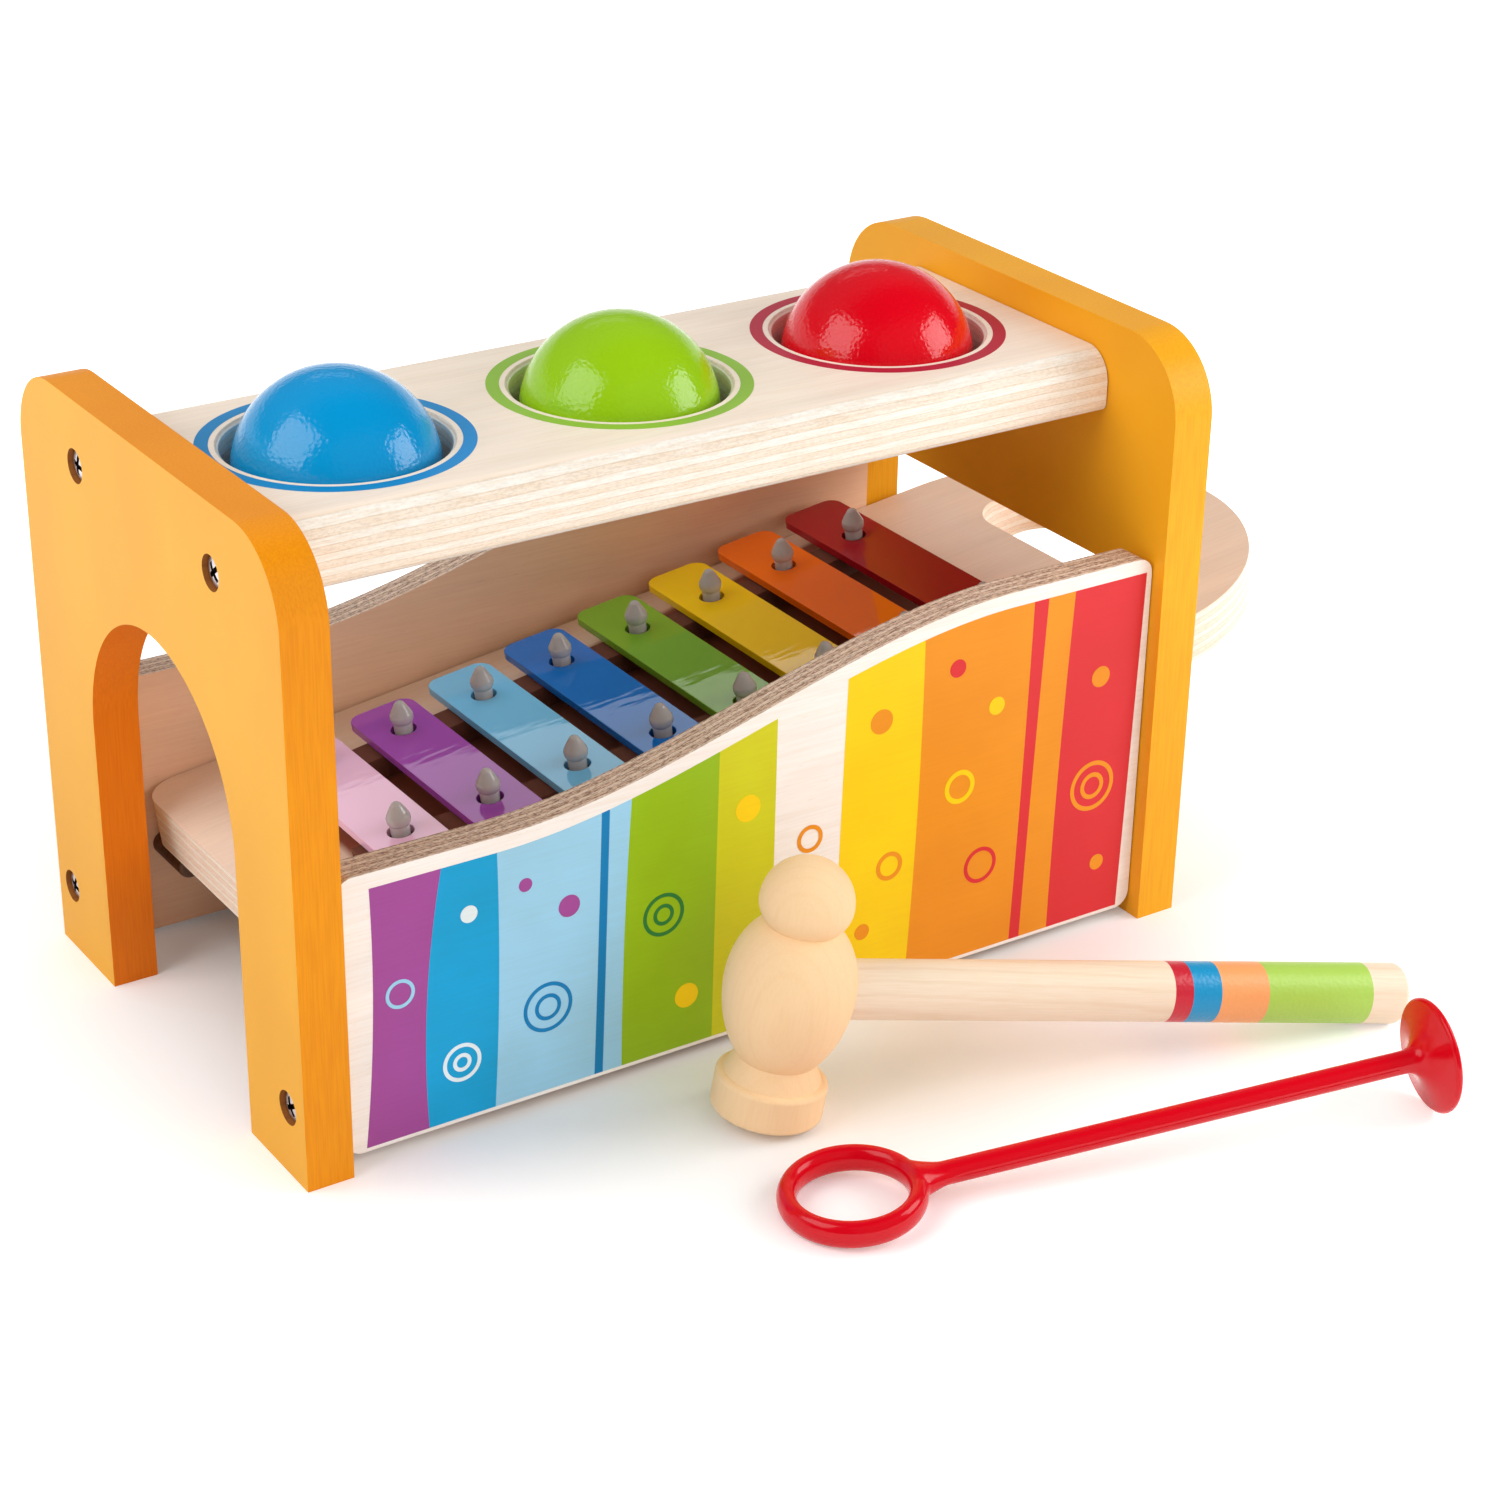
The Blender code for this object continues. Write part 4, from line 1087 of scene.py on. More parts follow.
def key_tree() -> Tree:
    """Returns the tree of one flat key: a round-cornered plate with a hole at each point.

    Returns:
        The tree.
    """
    sizes = {"Width": 16.4, "Length": 71.0, "Thickness": 2.0, "Corner Radius": 3.5}
    tree = Tree("xylophone_key", {**sizes, "Hole Radius": 3.0})
    got = tree.inputs
    size = {"Width": got["Width"], "Height": got["Length"]}
    sheet = tree.add("GeometryNodeCurvePrimitiveQuadrilateral", size, mode="RECTANGLE")
    corner = {"Curve": sheet, "Radius": got["Corner Radius"], "Count": 10}
    corners = tree.add("GeometryNodeFilletCurve", corner, mode="POLY")
    size = {"Resolution": 40, "Radius": got["Hole Radius"]}
    hole = tree.add("GeometryNodeCurvePrimitiveCircle", size, mode="RADIUS")
    copies = {"Points": got["Geometry"], "Instance": hole}
    holes = tree.add("GeometryNodeInstanceOnPoints", copies)
    real = tree.add("GeometryNodeRealizeInstances", {"Geometry": holes})
    return tree.end(tree.flat_plate([corners, real], got["Thickness"]), on_points=False)


def dot_tree() -> Tree:
    """Returns the tree of a flat printed ring on each point; without a bore it is a dot.

    Returns:
        The tree.
    """
    tree = Tree("printed_ring", {"Radius": 3.0, "Line": 0.9, "Film": 0.06, "Sides": 48})
    got = tree.inputs
    bore = tree.add("ShaderNodeMath", {0: got["Radius"], 1: got["Line"]}, operation="SUBTRACT")
    bore = tree.add("ShaderNodeMath", {0: bore, 1: 0.01 * MM}, operation="MAXIMUM")
    outlines: list[Input] = []
    for radius in (got["Radius"], bore):
        size = {"Resolution": got["Sides"], "Radius": radius}
        outlines.append(tree.add("GeometryNodeCurvePrimitiveCircle", size, mode="RADIUS"))
    return tree.end(tree.flat_plate(outlines, got["Film"]))


# Palette

# Two copies of one yellow paint, each set to the light on its panel: the left one has edges
# darkened with painted shade, and the right one is lighter with painted light.
YELLOW_PAINTS_LIT_AND_SHADED = {
    Side.LEFT: PaintedWood("satin_yellow_paint_left", "F2AE1C", 0.42, edge="F39A06"),
    Side.RIGHT: PaintedWood("satin_yellow_paint_right", "FBB01E", 0.42, edge="FAB21C"),
}
# A deeper orange on the arch's inner wall, as painted shade inside the arch.
ARCH_PAINTED_SHADE = PaintedWood("thick_yellow_paint_in_arch", "F07E04", 0.42, edge="F07E04")
# A dark brown with wood grain on the screw recesses' walls, as painted shade in the recesses.
RECESS_PAINTED_SHADE = TurnedWood("bare_wood_in_screw_recess", "9A5A1E", 0.7, line="6E3C14", figure=0.3)
SCREW_STEEL = PlatedSteel("zinc_plated_steel", "C2BBBE", 0.36)
# A dark steel on the walls of each cross slot, as painted shade in the slot.
SLOT_PAINTED_SHADE = PlatedSteel("dark_walls_of_screw_slot", "3A3230", 0.6)
PEG_STAIN = TurnedWood("dark_stained_peg", "5A3A26", 0.45, line="3E2617", figure=0.6)
DOWEL_WOOD = TurnedWood("bare_beech_dowel", "EBC894", 0.6, line="D9AE78")
RAIL_FELT = Felt("dark_wool_felt", "6A3A28", 0.95)
SOFT_RUBBER = Felt("black_soft_rubber", "2B2623", 0.7, nap=0.9)
POST_PLASTIC = MouldedPlastic("natural_grey_polyethylene", "BCB8B6", 0.08, cloudy=1.2)
RED_PLASTIC = MouldedPlastic("red_moulded_polypropylene", "D80319", 0.16)
BALL_LACQUERS = {
    "blue": GlossLacquer("blue_gloss_lacquer", "0094D2", 0.15),
    "green": GlossLacquer("green_gloss_lacquer", "97C812", 0.15),
    "red": GlossLacquer("red_gloss_lacquer", "DE0018", 0.15),
}
RING_PAINTS = {
    "blue": Ink("blue_ring_paint", "0C8CD0"),
    "green": Ink("green_ring_paint", "95C640"),
    "red": Ink("red_ring_paint", "BE2240"),
}
KEY_ENAMELS = {
    "pink": Enamel("pink_enamel", "F4C4E2", 0.01),
    "purple": Enamel("purple_enamel", "A44CB4", 0.01),
    "sky_blue": Enamel("sky_blue_enamel", "7CCCFA", 0.01),
    "blue": Enamel("blue_enamel", "0074D0", 0.01),
    "green": Enamel("green_enamel", "7CB22A", 0.01),
    "yellow": Enamel("yellow_enamel", "FFD400", 0.01),
    "orange": Enamel("orange_enamel", "FF7608", 0.01),
    "red": Enamel("dark_red_enamel", "B01222", 0.01),
}
INKS = {
    "purple": Ink("purple_ink", "A54C9C", 0.38),
    "blue": Ink("blue_ink", "0AA4DC", 0.38),
    "sky": Ink("sky_blue_ink", "9FD6F4", 0.38),
    "deep_blue": Ink("deep_blue_ink", "0780BE", 0.38),
    "green": Ink("green_ink", "98BF16", 0.38),
    "lime": Ink("lime_ink", "D4D31A", 0.38),
    "yellow": Ink("yellow_ink", "FED605", 0.38),
    "orange": Ink("orange_ink", "F0961A", 0.38),
    "red": Ink("red_ink", "DE2E34", 0.38),
    "white": Ink("white_ink", "E8F6FC", 0.38),
    "dark_green": Ink("dark_green_ink", "2E7D3A", 0.38),
}


# Bench


@dataclass
class SidePanel:
    """One painted end of the bench, with an arch at the left or a window at the right."""

    side: Side
    depth: float = 128
    height: float = 143.3
    thickness: float = 10.7
    corner: float = 18
    edge: float = 1.7
    reach: float = 115.7
    arch_width: float = 72
    arch_height: float = 102
    arch_offset: float = -1.1
    window_width: float = 108
    window_top: float = 86
    window_sill: float = 54.57
    window_corner: float = 4
    screw_rows: tuple[Point, Point] = ((67.3, 128), (112.4, 16.5))
    recess_radius: float = 3.75
    recess_flare: float = 0.08
    recess_depth: float = 3.4

    def screw_places(self) -> list[Point]:
        """Returns the places of the upper and the lower screws, along Y and Z."""
        return [(sign * span / 2, z) for span, z in self.screw_rows for sign in (-1, 1)]

    def outlines(self) -> list[Outline]:
        """Returns the panel's outline and, at the right end, its window.

        Returns:
            The outer outline, then the window's.
        """
        half = self.depth / 2
        shoulders = [(y, self.height, self.corner) for y in (-half, half)]
        outline = rounded([(-half, 0, 0), *shoulders, (half, 0, 0)], 18)
        if self.side is Side.RIGHT:
            middle = (0, (self.window_top + self.window_sill) / 2)
            size = (self.window_width, self.window_top - self.window_sill)
            return [outline, rectangle(middle, size, self.window_corner)]
        radius = self.arch_width / 2
        crown = (self.arch_offset, self.arch_height - radius)
        outline += [(self.arch_offset + radius, 0)]
        outline += arc(crown, (radius, radius), 0, math.pi, 48)
        outline += [(self.arch_offset - radius, 0)]
        return [outline]

    def build(self) -> None:
        """Makes the panel, with a recess for each screw."""
        name, sign = self.side.name.lower(), self.side.value
        panel = plate(f"painted_{name}_panel", self.outlines(), self.thickness)
        soften(panel, self.edge, 5)
        settle(panel, at(sign * (self.reach - self.thickness / 2), 0, 0) @ ENDWISE)
        deep, radius = self.recess_depth, self.recess_radius
        wall = [(radius + deep * self.recess_flare, deep), (radius, -deep)]
        lay = Matrix.Rotation(sign * QUARTER, 4, "Y")
        for y, z in self.screw_places():
            recess = turned("screw_recess", [(0, deep), *wall, (0, -deep)], 40)
            cut(panel, settle(recess, at(sign * self.reach, y, z) @ lay))
        settle(panel, BENCH)
        self.mark_walls(panel.data)
        finishes = [YELLOW_PAINTS_LIT_AND_SHADED[self.side], RECESS_PAINTED_SHADE, ARCH_PAINTED_SHADE]
        hand_over(panel, "bench", finishes, [f"{name}_side_panel"])

    def mark_walls(self, mesh: Mesh) -> None:
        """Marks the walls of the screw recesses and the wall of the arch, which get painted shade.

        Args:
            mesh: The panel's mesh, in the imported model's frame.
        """
        near, foot = 0.1, 1
        for polygon in mesh.polygons:
            if abs(polygon.normal.x) > 0.5:
                continue
            spot = (BENCH.inverted() @ polygon.center) / MM
            screw = min(math.hypot(spot.y - y, spot.z - z) for y, z in self.screw_places())
            aside = abs(spot.y - self.arch_offset) < self.arch_width / 2 + near
            # The recess walls get the dark brown of painted shade.
            if screw < self.recess_radius + 2 * near:
                polygon.material_index = 1
            # The arch's inner wall gets the deeper orange of painted shade.
            elif self.side is Side.LEFT and aside and foot < spot.z < self.arch_height + near:
                polygon.material_index = 2


@dataclass
class PoundingBoard:
    """The plywood board that the balls are hammered through, with its rings and balls."""

    length: float = 209.4
    depth: float = 80
    top: float = 136.1
    thickness: float = 14.3
    layers: int = 9
    top_edge: float = 7.5
    lower_edge: float = 2
    hole: float = 24.6
    chamfer: float = 0.8
    pitch: float = 69.6
    offset: float = -1.2
    ring_paint: Point = (26.6, 29.6)
    film: float = 0.08
    ball: float = 22.5
    proud: float = 15.8
    seat: float = 27.3
    seat_height: float = 2.8
    ring_height: float = 2.5
    ring_gap: float = 0.3

    def hole_place(self, index: int) -> Matrix:
        """Returns the middle of a hole in the bench's frame."""
        return at(self.offset + self.pitch * (index - 1), 0, 0)

    def build(self) -> None:
        """Makes the board, its painted rings, the soft rings under it and the balls."""
        self.build_board()
        for index, colour in enumerate(BALL_LACQUERS):
            place = BENCH @ self.hole_place(index)
            self.build_ring_paint(place, colour)
            self.build_soft_ring(place, colour)
            self.build_ball(place, colour)

    def build_board(self) -> None:
        """Makes the board with its three holes."""
        half, low, top = self.depth / 2, self.top - self.thickness, self.top
        lower = [(y, low, self.lower_edge) for y in (-half, half)]
        upper = [(y, top, self.top_edge) for y in (half, -half)]
        board = plate("plywood_pounding_board", [rounded(lower + upper, 14)], self.length)
        settle(board, ENDWISE)
        seat, over = low + self.seat_height, 1
        mouth = [(self.hole + self.chamfer + over, top + over), (self.hole, top - self.chamfer)]
        step = [(self.hole, seat), (self.seat, seat), (self.seat, low - over), (0, low - over)]
        for index in range(len(BALL_LACQUERS)):
            bore = turned("ball_hole", [(0, top + over), *mouth, *step], 96)
            cut(board, settle(bore, self.hole_place(index)))
        finish = Plywood(
            "clear_lacquered_birch_board",
            "FFEEDC",
            0.42,
            start=low,
            pitch=self.thickness / self.layers,
            thick=Axis.Z,
            long_grain="FCF6EC",
            end_grain="F9EBDA",
            glue="EBD8C0",
            contrast=0.12,
        )
        settle(board, BENCH)
        hand_over(board, "bench", [finish], ["pounding_board"])

    def build_ring_paint(self, place: Matrix, colour: str) -> None:
        """Makes the painted ring round a hole, as a thin film on the board.

        Args:
            place: The hole's place.
            colour: The ring's colour.
        """
        inner, outer = self.ring_paint
        low, high = self.top - self.film, self.top + self.film / 2
        profile = [(inner, low), (outer, low), (outer, high), (inner, high), (inner, low)]
        ring = settle(turned(f"painted_ring_{colour}", profile, 128), place)
        hand_over(ring, "bench", [RING_PAINTS[colour]])

    def build_soft_ring(self, place: Matrix, colour: str) -> None:
        """Makes the soft ring that holds a ball up from below.

        Args:
            place: The hole's place.
            colour: The ball's colour.
        """
        low = self.top - self.thickness
        centre = self.top + self.proud - self.ball
        reach = self.ball + self.ring_gap
        chords = 4
        heights = [low + self.ring_height * step / chords for step in range(chords + 1)]
        lip = [(math.sqrt(reach**2 - (centre - z) ** 2), z) for z in heights]
        outer = self.seat - self.ring_gap
        profile = [lip[-1], (outer, low + self.ring_height), (outer, low), *lip]
        ring = settle(turned(f"soft_ring_{colour}", profile, 96), place)
        hand_over(ring, "bench", [SOFT_RUBBER], [f"ball_ring_{colour}"])

    def build_ball(self, place: Matrix, colour: str) -> None:
        """Makes a lacquered ball in its hole.

        Args:
            place: The hole's place.
            colour: The ball's colour.
        """
        profile = arc((0, 0), (self.ball, self.ball), QUARTER, -QUARTER, 64)
        profile[0], profile[-1] = (0, self.ball), (0, -self.ball)
        ball = turned(f"lacquered_ball_{colour}", profile, 128)
        settle(ball, place @ at(0, 0, self.top + self.proud - self.ball))
        name = f"ball_{colour}"
        hand_over(ball, name, [BALL_LACQUERS[colour]], [name])


@dataclass
class LowPanel:
    """The wavy plywood panel at the front or the back."""

    face: Face
    lift: float
    colour: str
    half_length: float = 104.7
    low: float = 65.5
    rise: float = 25
    wave: float = 134
    wave_offset: float = -1
    corner: float = 4
    edge: float = 1.2
    thickness: float = 8
    layers: int = 7
    middle: float = 56.2

    def top(self, x: float) -> float:
        """Returns the height of the panel's top edge.

        Args:
            x: The place along the panel.

        Returns:
            The height.
        """
        share = (x - self.wave_offset) / self.wave + 0.5
        share = min(1, max(0, share))
        return self.lift + self.low + self.rise * share * share * (3 - 2 * share)

    def build(self) -> None:
        """Makes the panel."""
        half, start, steps = self.half_length, self.wave_offset - self.wave / 2, 60
        crest = [start + self.wave * step / steps for step in range(steps + 1)]
        corners = [(x, self.top(x), 0) for x in crest]
        ends = ((half, self.top(half)), (half, self.lift), (-half, self.lift))
        corners += [(x, z, self.corner) for x, z in (*ends, (-half, self.top(-half)))]
        name = self.face.name.lower()
        panel = plate(f"plywood_{name}_panel", [rounded(corners)], self.thickness)
        soften(panel, self.edge, 4)
        settle(panel, BENCH @ at(0, self.face.value * self.middle, 0) @ UPRIGHT)
        finish = Plywood(
            f"birch_plywood_{name}",
            self.colour,
            0.45,
            start=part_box(f"{name}_panel")[0].y / MM,
            pitch=self.thickness / self.layers,
        )
        hand_over(panel, "bench", [finish], [f"{name}_panel"])


@dataclass
class FrontPrint:
    """The printed stripes on the front panel, and the plain figures on them.

    Attributes:
        panel: The panel that carries the print.
        low: The height of the print's lower edge.
        margin: The bare wood above the print.
        film: The thickness of the ink.
        rows: The faces of a stripe from bottom to top.
        columns: The faces of a stripe from left to right.
    """

    panel: LowPanel
    low: float = 3.4
    margin: float = 3.6
    film: float = 0.05
    rows: int = 24
    columns: int = 16

    # Each stripe's ink, and the X of its left edge at the bottom, middle and top; "" is bare wood
    STRIPES = (
        ("purple", -100.0, -97.4, -97.2),
        ("blue", -85.2, -84.9, -80.7),
        ("sky", -69.2, -67.7, -67.6),
        ("deep_blue", -44.6, -43.4, -42.4),
        ("sky", -42.5, -41.4, -40.4),
        ("green", -37.7, -36.9, -35.0),
        ("lime", -14.3, -13.7, -13.0),
        ("", 1.1, 1.5, 1.8),
        ("yellow", 18.6, 19.2, 20.2),
        ("orange", 38.6, 40.4, 40.6),
        ("red", 68.7, 70.0, 70.8),
        ("orange", 71.7, 73.1, 74.9),
        ("red", 79.9, 80.7, 82.5),
        ("", 100.9, 102.1, 103.2),
    )
    # Each figure's ink, X, Z, radius and line; a line as wide as the radius makes a dot
    FIGURES = (
        ("white", -77.0, 17.0, 4.6, 0.9), ("white", -77.0, 17.0, 2.2, 0.9),
        ("white", -74.5, 52.0, 2.0, 2.0), ("sky", -91.0, 38.0, 3.4, 0.8),
        ("deep_blue", -56.0, 24.0, 6.0, 0.9), ("deep_blue", -56.0, 24.0, 3.2, 0.9),
        ("purple", -50.5, 47.0, 2.6, 2.6), ("purple", -61.0, 55.0, 1.6, 1.6),
        ("dark_green", -27.0, 38.0, 5.2, 0.9), ("dark_green", -27.0, 38.0, 2.6, 0.9),
        ("yellow", -21.0, 16.0, 3.0, 3.0), ("yellow", -5.5, 58.0, 3.2, 3.2),
        ("orange", 11.0, 46.0, 3.4, 1.0), ("orange", 29.5, 70.0, 3.0, 3.0),
        ("orange", 33.0, 33.0, 3.6, 1.1), ("orange", 26.0, 18.0, 2.0, 2.0),
        ("yellow", 52.0, 48.0, 4.2, 1.2), ("yellow", 61.5, 66.0, 2.2, 2.2),
        ("red", 59.0, 26.0, 4.6, 1.0), ("red", 50.0, 78.0, 2.2, 2.2),
        ("orange", 91.5, 66.0, 2.6, 2.6), ("orange", 91.0, 38.0, 6.4, 1.1),
        ("orange", 91.0, 38.0, 3.4, 1.1), ("orange", 94.0, 17.0, 2.0, 2.0),
    )  # fmt: skip

    def surface(self) -> float:
        """Returns where the panel's outer face lies along Y."""
        return self.panel.face.value * (self.panel.middle + self.panel.thickness / 2)

    def build(self) -> None:
        """Makes the stripes as one film, and each ink's figures as another."""
        self.build_stripes()
        rings = dot_tree()
        for ink in sorted({figure[0] for figure in self.FIGURES}):
            parts = []
            for _, x, z, radius, line in (each for each in self.FIGURES if each[0] == ink):
                spot = points_mesh("spot", [(x, self.surface() - self.film, z)], [(QUARTER, 0, 0)])
                parts.append(rings.grow("figure", spot, INKS[ink], Radius=radius, Line=line))
            figures = join(f"printed_figures_{ink}", parts)
            hand_over(settle(figures, BENCH), "bench", [INKS[ink]])

    def build_stripes(self) -> None:
        """Makes the stripes, with a material number for each ink."""
        inks = sorted({ink for ink, *_ in self.STRIPES if ink})
        verts, faces, marks = [], [], []
        for (ink, *left), (_, *right) in zip(self.STRIPES, self.STRIPES[1:]):
            if ink:
                start = len(verts)
                verts += self.stripe_points(left, right)
                film = [tuple(start + corner for corner in quad) for quad in self.film_faces()]
                faces += film
                marks += [inks.index(ink)] * len(film)
        mesh = bpy.data.meshes.new("printed_stripes")
        mesh.from_pydata(verts, [], faces)
        mesh.polygons.foreach_set("material_index", marks)
        stripes = settle(new_object("printed_stripes", mesh), BENCH)
        hand_over(stripes, "bench", [INKS[ink] for ink in inks])

    def stripe_points(self, left: Sequence[float], right: Sequence[float]) -> list[Vector]:
        """Returns the inner and then the outer grid of one stripe's film.

        Args:
            left: The X of the left edge at the bottom, middle and top.
            right: The X of the right edge at the bottom, middle and top.

        Returns:
            The points.
        """
        points = []
        for y in (self.surface() + self.film, self.surface() - self.film):
            for row in range(self.rows + 1):
                share = row / self.rows
                start, end = self.bow(left, share), self.bow(right, share)
                for column in range(self.columns + 1):
                    x = start + (end - start) * column / self.columns
                    z = self.low + (self.panel.top(x) - self.margin - self.low) * share
                    points.append(Vector((x, y, z)) * MM)
        return points

    def film_faces(self) -> list[tuple[int, ...]]:
        """Returns the faces of one stripe's closed film, by the numbers of its points.

        Returns:
            The faces, outwards.
        """
        rows, columns, wide = self.rows, self.columns, self.columns + 1
        grid = wide * (rows + 1)
        faces: list[tuple[int, ...]] = []
        for near in (row * wide + column for row in range(rows) for column in range(columns)):
            quad = (near, near + 1, near + wide + 1, near + wide)
            faces += [tuple(grid + corner for corner in quad), quad[::-1]]
        rim = [*range(columns), *range(columns, columns + rows * wide, wide)]
        rim += [*range(rows * wide + columns, rows * wide, -1), *range(rows * wide, 0, -wide)]
        for here, ahead in zip(rim, rim[1:] + rim[:1]):
            faces.append((grid + ahead, grid + here, here, ahead))
        return faces

    @staticmethod
    def bow(edge: Sequence[float], share: float) -> float:
        """Returns the X of a bowed edge.

        Args:
            edge: Its X at the bottom, middle and top.
            share: The height as a share of the print's.

        Returns:
            The X at that height.
        """
        low, middle, high = edge
        bend = middle - (low + high) / 2
        return low + (high - low) * share + 4 * bend * share * (1 - share)


@dataclass
class Screws:
    """The eight cross-head screws of the side panels.

    Attributes:
        panels: The panels that they hold.
        sunk: How far the crowns lie under a panel's face.
        tilt: The turn of each slot after the last one's, in radians.
        slot_reach: How far the painted shade on a slot's walls reaches from the middle.
        slot_shade_heights: From which height to which a face of the slot gets the painted shade.
    """

    panels: Sequence[SidePanel]
    sunk: float = 0.6
    tilt: float = 0.7
    slot_reach: float = 2.3
    slot_shade_heights: Point = (-1.35, -0.3)

    def build(self) -> None:
        """Makes the screws as one piece."""
        places, turns, nodes, frames = [], [], [], []
        for panel in self.panels:
            sign = panel.side.value
            for y, z in panel.screw_places():
                places.append((sign * (panel.reach - self.sunk), y, z))
                tilt = Matrix.Rotation(len(places) * self.tilt, 4, "Z")
                lay = Matrix.Rotation(sign * QUARTER, 4, "Y") @ tilt
                turns.append(tuple(lay.to_euler()))
                frames.append((at(*places[-1]) @ lay).inverted())
            name = panel.side.name.lower()
            corners = [(y, z) for y in ("front", "back") for z in ("upper", "lower")]
            nodes += [f"screw_{name}_{y}_{z}" for y, z in corners]
        points = points_mesh("screws", places, turns)
        screws = screw_tree().grow("cross_head_screws", points, SCREW_STEEL)
        low, high = self.slot_shade_heights
        # The faces inside each cross slot get the dark steel of painted shade.
        for polygon in screws.data.polygons:
            spot = min((back @ polygon.center / MM for back in frames), key=lambda s: s.length)
            inside = math.hypot(spot.x, spot.y) < self.slot_reach
            polygon.material_index = int(inside and low < spot.z < high)
        finishes = [SCREW_STEEL, SLOT_PAINTED_SHADE]
        hand_over(settle(screws, BENCH), "bench", finishes, nodes)


@dataclass
class SupportPeg:
    """A dark peg that carries the xylophone's low end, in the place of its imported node."""

    face: Face
    edge: float = 1

    def build(self) -> None:
        """Makes the peg."""
        node = f"support_peg_{self.face.name.lower()}"
        low, high = (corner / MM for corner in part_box(node))
        radius, length, edge = (high.x - low.x) / 2, high.y - low.y, self.edge
        end = arc((radius - edge, length - edge), (edge, edge), QUARTER, 0, 6)
        peg = turned(f"stained_{node}", [(0, length), *end, (radius, 0), (0, 0)], 48)
        seat = low.y if self.face is Face.FRONT else high.y
        place = at((low.x + high.x) / 2, seat, (low.z + high.z) / 2)
        settle(peg, place @ Matrix.Rotation(self.face.value * QUARTER, 4, "X"))
        hand_over(peg, "bench", [PEG_STAIN], [node])


def dress_dowels() -> None:
    """Gives the hidden dowels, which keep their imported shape, their bare wood."""
    for name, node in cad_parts.items():
        if name.startswith("dowel_"):
            for slot in node.material_slots:
                slot.material = DOWEL_WOOD.material()


# Xylophone


